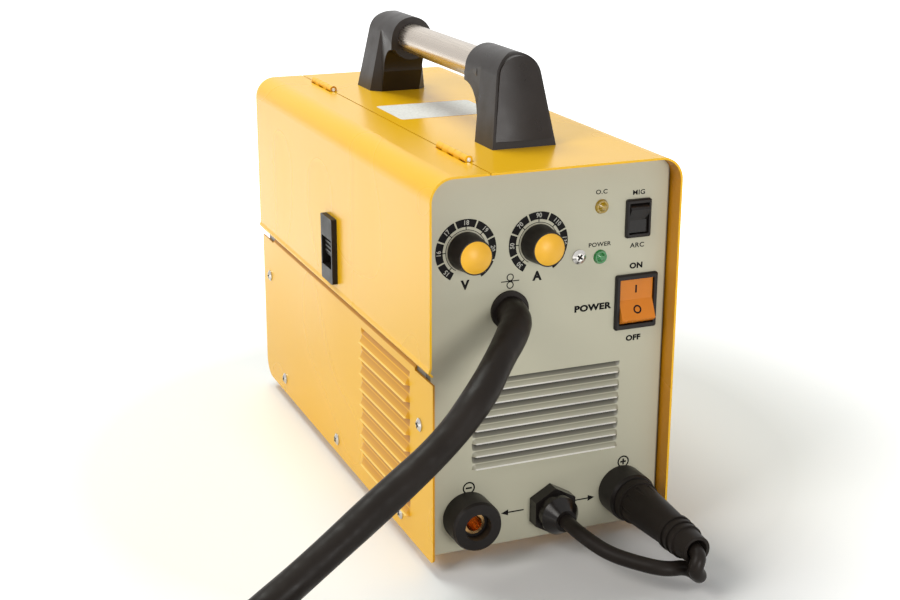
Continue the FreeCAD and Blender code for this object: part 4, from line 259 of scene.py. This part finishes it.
def dress(thing, material):
    """Gives an object one material in every slot."""
    if thing.data.materials:
        for index in range(len(thing.data.materials)):
            thing.data.materials[index] = material
    else:
        thing.data.materials.append(material)
    return thing


def raised(name, outlines, rise):
    """A thin raised piece: one mesh face for each closed outline, thickened along the rise."""
    build = bmesh.new()
    for outline in outlines:
        corners = [build.verts.new(corner) for corner in outline]
        build.faces.new(corners)
    for face in list(build.faces):
        grown = bmesh.ops.extrude_face_region(build, geom=[face])
        moved = [piece for piece in grown["geom"] if isinstance(piece, bmesh.types.BMVert)]
        bmesh.ops.translate(build, verts=moved, vec=rise)
    bmesh.ops.recalc_face_normals(build, faces=build.faces)
    mesh = bpy.data.meshes.new(name)
    build.to_mesh(mesh)
    build.free()
    return new_object(name, mesh)


# Materials


def toned(colour, factor, added=0.0):
    """A lighter or darker form of a colour."""
    return tuple(min(1.0, value * factor + added) for value in colour)


def tree(material):
    """The nodes and links of a material or of the world."""
    return material.node_tree.nodes, material.node_tree.links


def blank_material(name):
    material = bpy.data.materials.new(name)
    material.use_nodes = True
    return material, *tree(material)


def basic(name, colour, roughness, metallic=0.0, coat=0.0, specular=0.5):
    """A plain shader to build on. Returns the material and its shader node."""
    material, nodes, _ = blank_material(name)
    shader = nodes["Principled BSDF"]
    shader.inputs["Base Color"].default_value = (*colour, 1)
    shader.inputs["Roughness"].default_value = roughness
    shader.inputs["Metallic"].default_value = metallic
    shader.inputs["Coat Weight"].default_value = coat
    shader.inputs["Coat Roughness"].default_value = 0.15
    shader.inputs["Specular IOR Level"].default_value = specular
    return material, shader


def surface_noise(material, scale, detail=3.0, stretch=(1, 1, 1)):
    """Noise in the object's own coordinates, with its grain stretched per axis."""
    nodes, links = tree(material)
    place = nodes.new("ShaderNodeTexCoord")
    mapping = nodes.new("ShaderNodeMapping")
    mapping.inputs["Scale"].default_value = stretch
    noise = nodes.new("ShaderNodeTexNoise")
    noise.inputs["Scale"].default_value = scale
    noise.inputs["Detail"].default_value = detail
    links.new(place.outputs["Object"], mapping.inputs["Vector"])
    links.new(mapping.outputs["Vector"], noise.inputs["Vector"])
    return noise


def ranged(material, source, low, high):
    """Maps a noise value to a range."""
    nodes, links = tree(material)
    spread = nodes.new("ShaderNodeMapRange")
    spread.inputs["From Min"].default_value = 0.3
    spread.inputs["From Max"].default_value = 0.7
    spread.inputs["To Min"].default_value = low
    spread.inputs["To Max"].default_value = high
    links.new(source, spread.inputs["Value"])
    return spread.outputs["Result"]


def colour_mix(nodes):
    """Adds a node that mixes two colours. Returns its sockets: share, first, second and result."""
    blend = nodes.new("ShaderNodeMix")
    blend.data_type = "RGBA"
    return blend.inputs[0], blend.inputs[6], blend.inputs[7], blend.outputs[2]


def vary_colour(material, shader, first, second, scale, stretch=(1, 1, 1), detail=4.0):
    """Lets the colour wander between two by soft noise."""
    nodes, links = tree(material)
    noise = surface_noise(material, scale, detail, stretch)
    share, low, high, result = colour_mix(nodes)
    low.default_value = (*first, 1)
    high.default_value = (*second, 1)
    links.new(ranged(material, noise.outputs["Fac"], 0.0, 1.0), share)
    links.new(result, shader.inputs["Base Color"])


def vary_roughness(material, shader, low, high, scale, stretch=(1, 1, 1), detail=5.0):
    """Lets the roughness wander between two values by noise."""
    _, links = tree(material)
    noise = surface_noise(material, scale, detail, stretch)
    links.new(ranged(material, noise.outputs["Fac"], low, high), shader.inputs["Roughness"])


def add_bump(material, shader, scale, depth, detail=2.0, stretch=(1, 1, 1), earlier=None):
    """Adds fine relief of the given depth in millimetres, on top of an earlier one."""
    nodes, links = tree(material)
    noise = surface_noise(material, scale, detail, stretch)
    bump = nodes.new("ShaderNodeBump")
    bump.inputs["Strength"].default_value = 1.0
    bump.inputs["Distance"].default_value = depth * MM
    links.new(noise.outputs["Fac"], bump.inputs["Height"])
    if earlier is not None:
        links.new(earlier.outputs["Normal"], bump.inputs["Normal"])
    links.new(bump.outputs["Normal"], shader.inputs["Normal"])
    return bump


def over_paint(material, shader, share, colour):
    """Lays a colour over the paint by a share from another node."""
    nodes, links = tree(material)
    cover, paint, top, result = colour_mix(nodes)
    links.new(share, cover)
    links.new(shader.inputs["Base Color"].links[0].from_socket, paint)
    if isinstance(colour, tuple):
        top.default_value = (*colour, 1)
    else:
        links.new(colour, top)
    links.new(result, shader.inputs["Base Color"])


def paint_shade_and_highlights(material, shader, axis, stops):
    """Paints shade and highlights on a pressed sheet by the distance from the middle along one axis: darker
    in its recesses, lighter on its proud lips.
    """
    nodes, links = tree(material)
    place = nodes.new("ShaderNodeTexCoord")
    parts = nodes.new("ShaderNodeSeparateXYZ")
    distance = nodes.new("ShaderNodeMath")
    distance.operation = "ABSOLUTE"
    reach = nodes.new("ShaderNodeMapRange")
    nearest = stops[0][0]
    furthest = stops[-1][0]
    reach.inputs["From Min"].default_value = nearest * MM
    reach.inputs["From Max"].default_value = furthest * MM
    ramp = nodes.new("ShaderNodeValToRGB")
    while len(ramp.color_ramp.elements) < len(stops):
        ramp.color_ramp.elements.new(0.5)
    for element, (spot, colour, share) in zip(ramp.color_ramp.elements, stops):
        element.position = (spot - nearest) / (furthest - nearest)
        element.color = (*colour, share)
    links.new(place.outputs["Object"], parts.inputs[0])
    links.new(parts.outputs[axis], distance.inputs[0])
    links.new(distance.outputs[0], reach.inputs["Value"])
    links.new(reach.outputs["Result"], ramp.inputs["Fac"])
    over_paint(material, shader, ramp.outputs["Alpha"], ramp.outputs["Color"])


def painted_inside_shade(material, shader, colour):
    """Paints shade on the faces that look towards the middle of the case: a deeper colour there."""
    nodes, links = tree(material)
    place = nodes.new("ShaderNodeTexCoord")
    outward = nodes.new("ShaderNodeVectorMath")
    outward.operation = "SUBTRACT"
    outward.inputs[1].default_value = metres(case_middle)
    facing = nodes.new("ShaderNodeVectorMath")
    facing.operation = "DOT_PRODUCT"
    inside = nodes.new("ShaderNodeMath")
    inside.operation = "LESS_THAN"
    inside.inputs[1].default_value = 0
    links.new(place.outputs["Object"], outward.inputs[0])
    links.new(outward.outputs["Vector"], facing.inputs[0])
    links.new(place.outputs["Normal"], facing.inputs[1])
    links.new(facing.outputs["Value"], inside.inputs[0])
    over_paint(material, shader, inside.outputs[0], colour)


def powder_coat(name, colour, shade, roughness, specular):
    """Baked powder paint with its faint orange-peel relief. Returns the material and its shader."""
    material, shader = basic(name, colour, roughness, coat=0.05, specular=specular)
    vary_colour(material, shader, colour, shade, scale=7, detail=0.0)
    vary_roughness(material, shader, roughness - 0.03, roughness + 0.04, scale=12, detail=0.0)
    add_bump(material, shader, scale=220, depth=0.002, detail=0.0)
    return material, shader


def moulded(name, colour, roughness, grain, depth, specular=0.5):
    """Moulded plastic or rubber with a fine spark-eroded grain and slight handling marks."""
    material, shader = basic(name, colour, roughness, specular=specular)
    vary_colour(material, shader, colour, toned(colour, 1.35, 0.004), scale=26)
    vary_roughness(material, shader, roughness - 0.06, roughness + 0.08, scale=90)
    add_bump(material, shader, grain, depth)
    return material


def metal(name, colour, roughness, stretch=(1, 1, 1), scale=260, depth=0.015):
    """Metal with tool or brush marks along one axis."""
    material, shader = basic(name, colour, roughness, metallic=1.0)
    vary_colour(material, shader, colour, toned(colour, 0.92), scale / 6, stretch)
    vary_roughness(material, shader, max(0.03, roughness - 0.07), roughness + 0.09, scale, stretch)
    add_bump(material, shader, scale, depth, detail=3.0, stretch=stretch)
    return material


def lens(name, colour, glow):
    """Tinted clear plastic with a faint inner light."""
    material, shader = basic(name, colour, 0.12, coat=0.5)
    shader.inputs["Transmission Weight"].default_value = 0.25
    shader.inputs["Emission Color"].default_value = (*colour, 1)
    shader.inputs["Emission Strength"].default_value = glow
    vary_colour(material, shader, colour, toned(colour, 0.6), scale=400)
    add_bump(material, shader, scale=900, depth=0.02, detail=1.0)
    return material


def ink(name, colour):
    """Screen-printed ink, with slight unevenness."""
    material, shader = basic(name, colour, 0.55, specular=0.08)
    vary_colour(material, shader, colour, toned(colour, 0.8, 0.002), scale=700)
    add_bump(material, shader, scale=2500, depth=0.004, detail=1.0)
    return material


def winding_wire():
    """Level-wound copper-plated wire: fine ridges along the spool's axis."""
    material, shader = basic("wound_wire", (0.62, 0.36, 0.22), 0.32, metallic=1.0)
    nodes, links = tree(material)
    place = nodes.new("ShaderNodeTexCoord")
    waves = nodes.new("ShaderNodeTexWave")
    waves.wave_type = "BANDS"
    waves.bands_direction = "X"
    waves.inputs["Scale"].default_value = 160
    waves.inputs["Distortion"].default_value = 0.6
    waves.inputs["Detail"].default_value = 1.0
    bump = nodes.new("ShaderNodeBump")
    bump.inputs["Distance"].default_value = 0.3 * MM
    links.new(place.outputs["Object"], waves.inputs["Vector"])
    links.new(waves.outputs["Fac"], bump.inputs["Height"])
    links.new(bump.outputs["Normal"], shader.inputs["Normal"])
    vary_roughness(material, shader, 0.24, 0.42, scale=300)
    return material


def cable_jacket(name, colour, roughness, wrinkle_depth):
    """Rubber cable jacket: fine matt grain and soft folds."""
    material, shader = basic(name, colour, roughness, specular=0.13)
    vary_colour(material, shader, colour, toned(colour, 1.4, 0.002), scale=22)
    vary_roughness(material, shader, roughness - 0.08, roughness + 0.1, scale=60)
    folds = add_bump(material, shader, scale=55, depth=wrinkle_depth)
    add_bump(material, shader, scale=2200, depth=0.02, earlier=folds)
    return material


# Paints: name, colour, its shade, roughness and specular level
case_yellow = (0.91, 0.505, 0.008)
case_yellow_shade = (0.895, 0.49, 0.008)
case_paint, case_shader = powder_coat("case_paint", case_yellow, case_yellow_shade, 0.26, 0.3)
# Painted shade on the faces that look into the case
painted_inside_shade(case_paint, case_shader, (0.60, 0.25, 0.004))
side_paint, side_shader = powder_coat("side_paint", case_yellow, case_yellow_shade, 0.30, 0.25)
# Painted shade on the side louvre blades and painted highlights on their lips
paint_shade_and_highlights(side_paint, side_shader, "X", side_painted_shade_and_highlights)
panel_paint, panel_shader = powder_coat("panel_paint", (0.50, 0.48, 0.36), (0.485, 0.465, 0.35), 0.38, 0.4)
# Painted shade in the front louvre recesses and on the flanges seen through the door seam, painted
# highlights on the louvre lips
paint_shade_and_highlights(panel_paint, panel_shader, "Y", front_painted_shade_and_highlights)

# Metals: name, colour and roughness, then how the marks stretch, their scale and their depth
zinc = metal("zinc_steel", (0.60, 0.60, 0.58), 0.38)
bright_steel = metal("bright_steel", (0.58, 0.56, 0.53), 0.18, scale=600, depth=0.002)
brushed_tube = metal("brushed_aluminium", (0.60, 0.53, 0.46), 0.27, (1, 0.02, 1), 1400, 0.008)
cast_aluminium = metal("mill_aluminium", (0.70, 0.71, 0.72), 0.42)
turned_brass = metal("turned_brass", (0.80, 0.48, 0.20), 0.22, (1, 0.05, 1), 700, 0.01)
copper = metal("turned_copper", (0.80, 0.42, 0.25), 0.25)

# Plastics and rubber: name, colour, roughness, scale and depth of the grain, specular level
bracket_plastic = moulded("bracket_plastic", (0.014, 0.010, 0.008), 0.32, 1500, 0.015, 0.28)
black_plastic = moulded("black_plastic", (0.009, 0.007, 0.006), 0.40, 1800, 0.012, 0.2)
gloss_black = moulded("gloss_black", (0.007, 0.005, 0.004), 0.20, 900, 0.004, 0.28)
knob_plastic = moulded("knob_plastic", (0.008, 0.006, 0.005), 0.36, 1900, 0.012, 0.22)
cap_plastic = moulded("cap_plastic", (0.80, 0.41, 0.03), 0.33, 1600, 0.006, 0.35)
rocker_orange = moulded("rocker_orange", (0.55, 0.17, 0.012), 0.22, 700, 0.003, 0.25)
soft_rubber = moulded("soft_rubber", (0.011, 0.008, 0.006), 0.55, 1300, 0.03, 0.15)
feed_plastic = moulded("feed_plastic", (0.11, 0.11, 0.115), 0.45, 1200, 0.03)
board_green = moulded("board_green", (0.015, 0.10, 0.045), 0.35, 500, 0.02)
ferrite = moulded("ferrite_core", (0.035, 0.035, 0.038), 0.5, 900, 0.04)

# Lead jackets: name, colour, roughness and depth of the folds
lead_jacket = cable_jacket("lead_jacket", (0.012, 0.009, 0.007), 0.40, 1.6)
thin_jacket = cable_jacket("thin_jacket", (0.012, 0.009, 0.007), 0.38, 0.06)

# Lamps, prints, the painted shade of the screw heads' cross recesses, and the wound wire
green_lens = lens("green_lens", (0.02, 0.30, 0.06), 0.03)
amber_lens = lens("amber_lens", (0.52, 0.33, 0.015), 0.02)
black_ink = ink("black_ink", (0.006, 0.005, 0.005))
# Painted shade for the cross recesses of the screw heads
painted_recess_shade = ink("painted_recess_shade", (0.012, 0.010, 0.008))
white_ink = ink("white_ink", (0.50, 0.49, 0.43))
label_film = ink("label_film", (0.80, 0.80, 0.78))
spool_wire = winding_wire()

# The material of each node that the scene shows as it is
node_materials = {
    "base_tray": case_paint,
    "rubber_feet": soft_rubber,
    "front_panel": panel_paint,
    "rear_panel": panel_paint,
    "lower_side_panel": side_paint,
    "right_cover": case_paint,
    "case_screws": bright_steel,
    "hinge_pins": zinc,
    "handle_brackets": bracket_plastic,
    "handle_tube": brushed_tube,
    "bay_partition": zinc,
    "output_sockets": black_plastic,
    "socket_contacts": turned_brass,
    "cable_glands": gloss_black,
    "torch_grommet": soft_rubber,
    "switch_housings": black_plastic,
    "overcurrent_lamp": amber_lens,
    "power_lamp": green_lens,
    "potentiometers": zinc,
    "control_board": board_green,
    "power_board": board_green,
    "heatsinks": cast_aluminium,
    "bus_capacitors": gloss_black,
    "wound_components": ferrite,
    "fan_frame": black_plastic,
    "gas_valve": turned_brass,
    "feed_plate": feed_plastic,
    "feed_motor": zinc,
    "wire_guides": turned_brass,
    "spool_spindle": feed_plastic,
    "spool_nut": black_plastic,
    "torch_boot": soft_rubber,
    "torch_handle": black_plastic,
    "torch_neck": zinc,
    "torch_nozzle": copper,
    "torch_contact_tip": copper,
    "door": case_paint,
    "latch_base": black_plastic,
    "latch_slider": black_plastic,
    "voltage_knob": knob_plastic,
    "voltage_knob_cap": cap_plastic,
    "current_knob": knob_plastic,
    "current_knob_cap": cap_plastic,
    "power_rocker": rocker_orange,
    "mode_rocker": gloss_black,
    "wire_spool": black_plastic,
    "spool_winding": spool_wire,
    "drive_roll": bright_steel,
    "pressure_arm": feed_plastic,
    "pressure_roll": bright_steel,
    "tension_screw": zinc,
    "tension_knob": black_plastic,
    "fan_rotor": black_plastic,
    "torch_trigger": rocker_orange,
    "polarity_plug_sleeve": soft_rubber,
    "polarity_plug_pin": turned_brass,
}


def dress_nodes():
    for name, material in node_materials.items():
        dress(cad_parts[name], material)


# Leads


def lead_curve(name, points, diameter, material, waver=()):
    """A round lead as one smooth NURBS line through its route's control points.

    The waver is how thick the lead looks at its first points, as shares of its diameter.
    """
    curve = bpy.data.curves.new(name, "CURVE")
    curve.dimensions = "3D"
    curve.bevel_depth = diameter / 2 * MM
    curve.bevel_resolution = 8
    curve.resolution_u = 10
    curve.use_fill_caps = True
    spline = curve.splines.new("NURBS")
    spline.points.add(len(points) - 1)
    for target, point in zip(spline.points, points):
        target.co = (*metres(point), 1)
    for target, share in zip(spline.points, waver):
        target.radius = share
    spline.order_u = 3
    spline.use_endpoint_u = True
    return dress(new_object(name, curve), material)


def coil_place(angle, reach, height):
    turn = math.radians(angle)
    return Vector((coil_centre[0] + reach * math.cos(turn), coil_centre[1] + reach * math.sin(turn), height))


def coil_heading(angle):
    turn = math.radians(angle)
    return Vector((-math.sin(turn), math.cos(turn), 0))


def half_turn(angle, reach, next_reach, height, next_height, share=1.0):
    """Control points of part of a half turn, stood out so that the spline keeps its radius.

    The spline goes by three quarters of a control point and a quarter of its two neighbours.
    """
    stand_out = 1 / (0.75 + 0.25 * math.cos(math.radians(coil_step)))
    points = []
    for index in range(round(180 * share / coil_step)):
        part = (index + 0.5) * coil_step / 180
        ease = (1 - math.cos(math.pi * part)) / 2
        here = reach + (next_reach - reach) * ease
        level = height + (next_height - height) * ease
        points.append(coil_place(angle + 180 * part, here * stand_out, level))
    return points


def coil_points():
    """Inward spiral above, a climb down, and an outward spiral on the floor."""
    heading = coil_heading(coil_entry_angle)
    first = coil_place(coil_entry_angle, coil_outer_radius, coil_high)
    entry = first - heading * torch_lead_diameter
    points = [entry - heading * entry_run, entry]
    angle = coil_entry_angle
    reach = coil_outer_radius
    for _ in range(coil_upper_half_turns):
        points += half_turn(angle, reach, reach - coil_pitch / 2, coil_high, coil_high)
        reach -= coil_pitch / 2
        angle += 180
    points += half_turn(angle, reach, coil_inner_radius, coil_high, coil_low)
    angle += 180
    reach = coil_inner_radius
    next_reach = coil_outer_radius - coil_pitch
    for _ in range(coil_lower_half_turns):
        points += half_turn(angle, reach, next_reach, coil_low, coil_low)
        reach = next_reach
        next_reach += coil_pitch / 2
        angle += 180
    share = ((coil_exit_angle - angle) % 360) / 180
    points += half_turn(angle, reach, next_reach, coil_low, coil_low, share)
    ease = (1 - math.cos(math.pi * share)) / 2
    last = coil_place(coil_exit_angle, reach + (next_reach - reach) * ease, coil_low)
    leave = coil_heading(coil_exit_angle)
    start = last + leave * torch_lead_diameter
    corner = start + leave * tail_first_run
    slope = (torch_axis_height - coil_low) / (tail_second_run + boot_length)
    end = corner + (leave + Vector((0, 0, slope))) * tail_second_run
    return points + [start, corner, end]


def torch_lead():
    points = [Vector(point) for point in torch_route] + coil_points()
    lead = lead_curve("torch_lead_rubber", points, torch_lead_diameter, lead_jacket, torch_lead_waver)
    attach(lead, "machine")
    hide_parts("torch_lead", "torch_lead_coil", "torch_lead_tail")


def polarity_lead():
    lead = lead_curve("polarity_lead_rubber", polarity_route, polarity_lead_diameter, thin_jacket)
    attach(lead, "machine")
    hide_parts("polarity_lead")


# Printing on the front panel


def printed(thing, material, body="machine"):
    dress(thing, material)
    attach(thing, body)
    return thing


def flat_print(name, outlines, face_y=panel_face):
    """A thin raised print on a face that looks to the front, from closed outlines of X and Z."""
    placed = [[metres((x, face_y - ink_thickness, z)) for x, z in outline] for outline in outlines]
    return raised(name, placed, Vector((0, ink_thickness * MM, 0)))


def ring_piece(centre, inner, outer, start, end, step=4.0):
    """Outline of a ring's piece between two angles, measured from the top clockwise."""
    count = max(2, round((end - start) / step))
    angles = [math.radians(start + (end - start) * index / count) for index in range(count + 1)]
    outside = [(centre[0] + outer * math.sin(a), centre[1] + outer * math.cos(a)) for a in angles]
    inside = [(centre[0] + inner * math.sin(a), centre[1] + inner * math.cos(a)) for a in reversed(angles)]
    return outside + inside


def quad_strip(centre, inner, outer, start, end, step=6.0):
    """A ring's piece as small four-sided outlines, which stay flat and convex."""
    count = max(1, round((end - start) / step))
    size = (end - start) / count
    edges = [start + size * index for index in range(count + 1)]
    return [ring_piece(centre, inner, outer, *ends, size) for ends in zip(edges, edges[1:])]


def whole_ring(centre, radii, step):
    """A closed ring as small four-sided outlines."""
    return quad_strip(centre, *radii, 0, 360, step)


def lettering(name, words, x, z, height, width, material, turn=0.0, lift=0.0):
    """Bold plain lettering that stands on the panel, centred on its place."""
    text = bpy.data.curves.new(name, "FONT")
    text.body = words
    text.align_x = "CENTER"
    text.align_y = "CENTER"
    text.size = height * MM / capital_share
    text.offset = height * MM * (small_bold_share if height < small_height else bold_share)
    text.extrude = ink_thickness / 2 * MM
    text.space_character = letter_spacing
    text.resolution_u = 4
    thing = new_object(name, text)
    stand = Matrix.Rotation(math.radians(90), 4, "X")
    lean = Matrix.Rotation(math.radians(turn), 4, "Y")
    stretch = Matrix.Diagonal((width, 1, 1, 1))
    place = Matrix.Translation(metres((x, panel_face - ink_thickness / 2 - lift, z)))
    thing.matrix_world = place @ lean @ stand @ stretch
    return printed(thing, material)


def dial(name, centre, numbers):
    """A black ring in pieces with a light number on each, and a thin tick ring inside."""
    pieces = []
    tick_low = tick_ring_radius - tick_ring_width
    tick_high = tick_ring_radius + tick_length
    ticks = quad_strip(centre, tick_low, tick_ring_radius, -tick_ring_end, tick_ring_end)
    first = -dial_step * (len(numbers) - 1) / 2
    middle = (dial_inner_radius + dial_outer_radius) / 2
    for index, words in enumerate(numbers):
        angle = first + dial_step * index
        half = dial_step / 2 - dial_gap_angle / 2
        low = -dial_last_half if index == 0 else -half
        high = dial_last_half if index == len(numbers) - 1 else half
        pieces += quad_strip(centre, dial_inner_radius, dial_outer_radius, angle + low, angle + high)
        tick_ends = (angle - tick_half_angle, angle + tick_half_angle)
        ticks.append(ring_piece(centre, tick_ring_radius, tick_high, *tick_ends))
        turn = math.radians(angle)
        lettering(
            f"{name}_number_{index + 1}", words,
            centre[0] + middle * math.sin(turn), centre[1] + middle * math.cos(turn),
            dial_number_height, dial_number_width, white_ink, turn=angle, lift=ink_thickness,
        )
    printed(flat_print(f"{name}_ring", pieces), black_ink)
    printed(flat_print(f"{name}_ticks", ticks), black_ink)


def stroke(x0, z0, x1, z1, width):
    """Outline of a straight printed line."""
    along = Vector((x1 - x0, z1 - z0)).normalized()
    side = Vector((-along.y, along.x)) * width / 2
    return [
        (x0 + side.x, z0 + side.y),
        (x1 + side.x, z1 + side.y),
        (x1 - side.x, z1 - side.y),
        (x0 - side.x, z0 - side.y),
    ]


def arrow(name, start_x, end_x, z):
    """A thin printed arrow with a solid head."""
    way = 1 if end_x > start_x else -1
    neck = end_x - way * arrow_head_length
    head = [(end_x, z), (neck, z + arrow_head_half), (neck, z - arrow_head_half)]
    printed(flat_print(name, [stroke(start_x, z, neck, z, arrow_stroke), head]), black_ink)


def pole_sign(name, centre, crossed):
    """A circled plus or minus."""
    x, z = centre
    outlines = whole_ring(centre, pole_ring, 12)
    outlines.append(stroke(x - pole_half, z, x + pole_half, z, pole_stroke))
    if crossed:
        outlines.append(stroke(x, z - pole_half, x, z - pole_stroke / 2, pole_stroke))
        outlines.append(stroke(x, z + pole_stroke / 2, x, z + pole_half, pole_stroke))
    printed(flat_print(name, outlines), black_ink)


def wire_feed_sign():
    """Two rolls with the wire between them."""
    x, z = feed_sign
    outlines = whole_ring((x, z + feed_sign_rise), feed_sign_ring, 15)
    outlines += whole_ring((x, z - feed_sign_rise), feed_sign_ring, 15)
    outlines.append(stroke(x - feed_sign_half, z, x + feed_sign_half, z, feed_sign_stroke))
    printed(flat_print("wire_feed_sign", outlines), black_ink)


def rocker_marks():
    """A stroke on the upper half of the power rocker and a ring on its lower half."""
    upper_y, upper_z = rocker_upper_face
    low, high = rocker_line
    line = stroke(rocker_x, upper_z + low, rocker_x, upper_z + high, rocker_line_stroke)
    printed(flat_print("rocker_on_mark", [line], upper_y), black_ink, body="power_rocker")
    lower_y, lower_z = rocker_lower_face
    ring = flat_print("rocker_off_mark", whole_ring((0, 0), rocker_ring, 12), 0)
    tilt = Matrix.Rotation(math.radians(-rocker_lower_tilt), 4, "X")
    ring.matrix_world = Matrix.Translation(metres((rocker_x, lower_y, lower_z))) @ tilt
    printed(ring, black_ink, body="power_rocker")


def cross_outline():
    """Corners of a cross about the origin."""
    corners = []
    for quarter in range(4):
        turn = math.pi / 2 * quarter
        for across, along in (
            (screw_cross_half, screw_cross_half),
            (screw_cross_half, screw_cross_reach),
            (-screw_cross_half, screw_cross_reach),
        ):
            corners.append((
                across * math.cos(turn) - along * math.sin(turn),
                across * math.sin(turn) + along * math.cos(turn),
            ))
    return corners


def screw_cross(index, seat, quarter_turns):
    """Painted shade of the cross recess in a screw's head: a dark flat cross, facing the front or turned
    from there about Z.
    """
    cross = flat_print(f"screw_cross_{index}", [cross_outline()], -screw_head_height)
    facing = Matrix.Rotation(math.pi / 2 * quarter_turns, 4, "Z")
    lean = Matrix.Rotation(math.radians(screw_cross_turn * index), 4, "Y")
    cross.matrix_world = Matrix.Translation(metres(seat)) @ facing @ lean
    printed(cross, painted_recess_shade)


def screw_crosses():
    seats = [((panel_screw_spot[0], panel_face, panel_screw_spot[1]), 0)]
    for y, z in side_screw_spots:
        seats.append(((left_screw_x, y, z), -1))
        seats.append(((right_screw_x, y, z), 1))
    for index, (seat, quarter_turns) in enumerate(seats):
        screw_cross(index + 1, seat, quarter_turns)


def panel_printing():
    dial("voltage_dial", voltage_knob, voltage_numbers)
    dial("current_dial", current_knob, current_numbers)
    for index, (words, x, z, height, width) in enumerate(letters):
        lettering(f"panel_word_{index + 1}", words, x, z, height, width, black_ink)
    wire_feed_sign()
    pole_sign("minus_sign", minus_sign, False)
    pole_sign("plus_sign", plus_sign, True)
    arrow("left_arrow", *left_arrow)
    arrow("right_arrow", *right_arrow)


# Label


def top_label():
    """Bare white label with rounded corners on the case's top."""
    left, right = label_x
    near, far = label_y
    outline = []
    for x, y, start in ((right, far, 0), (left, far, 90), (left, near, 180), (right, near, 270)):
        inward_x = -1 if x == right else 1
        inward_y = -1 if y == far else 1
        for step in range(label_corner_steps + 1):
            turn = math.radians(start + 90 * step / label_corner_steps)
            outline.append(metres((
                x + inward_x * label_corner + label_corner * math.cos(turn),
                y + inward_y * label_corner + label_corner * math.sin(turn),
                case_top + label_lift,
            )))
    label = raised("top_label", [outline], Vector((0, 0, label_thickness * MM)))
    dress(label, label_film)
    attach(label, "machine")


# Studio


def add_camera():
    lens_data = bpy.data.cameras.new("view")
    lens_data.lens = camera_lens
    lens_data.sensor_width = sensor_width
    camera = new_object("view", lens_data)
    yaw = Matrix.Rotation(camera_yaw, 4, "Z")
    pitch = Matrix.Rotation(math.pi / 2 + camera_pitch, 4, "X")
    roll = Matrix.Rotation(-camera_roll, 4, "Z")
    camera.matrix_world = Matrix.Translation(metres(camera_place)) @ yaw @ pitch @ roll
    bpy.context.scene.camera = camera


def add_softbox(name, place, target, size, power, colour):
    data = bpy.data.lights.new(name, "AREA")
    data.shape = "RECTANGLE"
    data.size = size[0]
    data.size_y = size[1]
    data.energy = power
    data.color = colour
    light = new_object(name, data)
    light.location = place
    light.rotation_euler = (Vector(target) - Vector(place)).to_track_quat("-Z", "Y").to_euler()


def white_seen(nodes, links, plain, bright):
    """Mixes in a plain white for the rays that look straight at a background."""
    path = nodes.new("ShaderNodeLightPath")
    share = path.outputs["Is Camera Ray"]
    for ray in ("Is Glossy Ray", "Is Transmission Ray"):
        either = nodes.new("ShaderNodeMath")
        either.operation = "MAXIMUM"
        links.new(share, either.inputs[0])
        links.new(path.outputs[ray], either.inputs[1])
        share = either.outputs[0]
    mix = nodes.new("ShaderNodeMixShader")
    links.new(share, mix.inputs[0])
    links.new(plain, mix.inputs[1])
    links.new(bright, mix.inputs[2])
    return mix.outputs[0]


def studio_world():
    world = bpy.data.worlds.new("studio")
    world.use_nodes = True
    nodes, links = tree(world)
    dim = nodes["Background"]
    dim.inputs["Color"].default_value = (1, 1, 1, 1)
    dim.inputs["Strength"].default_value = world_strength
    bright = nodes.new("ShaderNodeBackground")
    bright.inputs["Color"].default_value = (1, 1, 1, 1)
    bright.inputs["Strength"].default_value = 1.0
    seen = white_seen(nodes, links, dim.outputs[0], bright.outputs[0])
    links.new(seen, nodes["World Output"].inputs["Surface"])
    bpy.context.scene.world = world


def add_floor():
    mesh = bpy.data.meshes.new("floor")
    half = floor_half
    corners = [(-half, -half, 0), (half, -half, 0), (half, half, 0), (-half, half, 0)]
    mesh.from_pydata(corners, [], [(0, 1, 2, 3)])
    floor = new_object("floor", mesh)
    material, nodes, links = blank_material("floor_paper")
    shader = nodes["Principled BSDF"]
    shader.inputs["Base Color"].default_value = (floor_grey, floor_grey, floor_grey, 1)
    shader.inputs["Roughness"].default_value = 0.85
    shader.inputs["Specular IOR Level"].default_value = 0.1
    place = nodes.new("ShaderNodeNewGeometry")
    reach = nodes.new("ShaderNodeVectorMath")
    reach.operation = "LENGTH"
    links.new(place.outputs["Position"], reach.inputs[0])
    rise = nodes.new("ShaderNodeMapRange")
    rise.inputs["From Min"].default_value = glow_start
    rise.inputs["From Max"].default_value = glow_full
    rise.inputs["To Min"].default_value = glow_near
    links.new(reach.outputs["Value"], rise.inputs["Value"])
    glow = nodes.new("ShaderNodeEmission")
    links.new(rise.outputs["Result"], glow.inputs["Strength"])
    both = nodes.new("ShaderNodeAddShader")
    links.new(shader.outputs[0], both.inputs[0])
    links.new(glow.outputs[0], both.inputs[1])
    seen = white_seen(nodes, links, shader.outputs[0], both.outputs[0])
    links.new(seen, nodes["Material Output"].inputs["Surface"])
    dress(floor, material)


def studio():
    scene = bpy.context.scene
    scene.view_settings.view_transform = "Standard"
    add_camera()
    studio_world()
    add_floor()
    for softbox in softboxes:
        add_softbox(*softbox)


torch_lead()
polarity_lead()
dress_nodes()
panel_printing()
rocker_marks()
screw_crosses()
top_label()
studio()
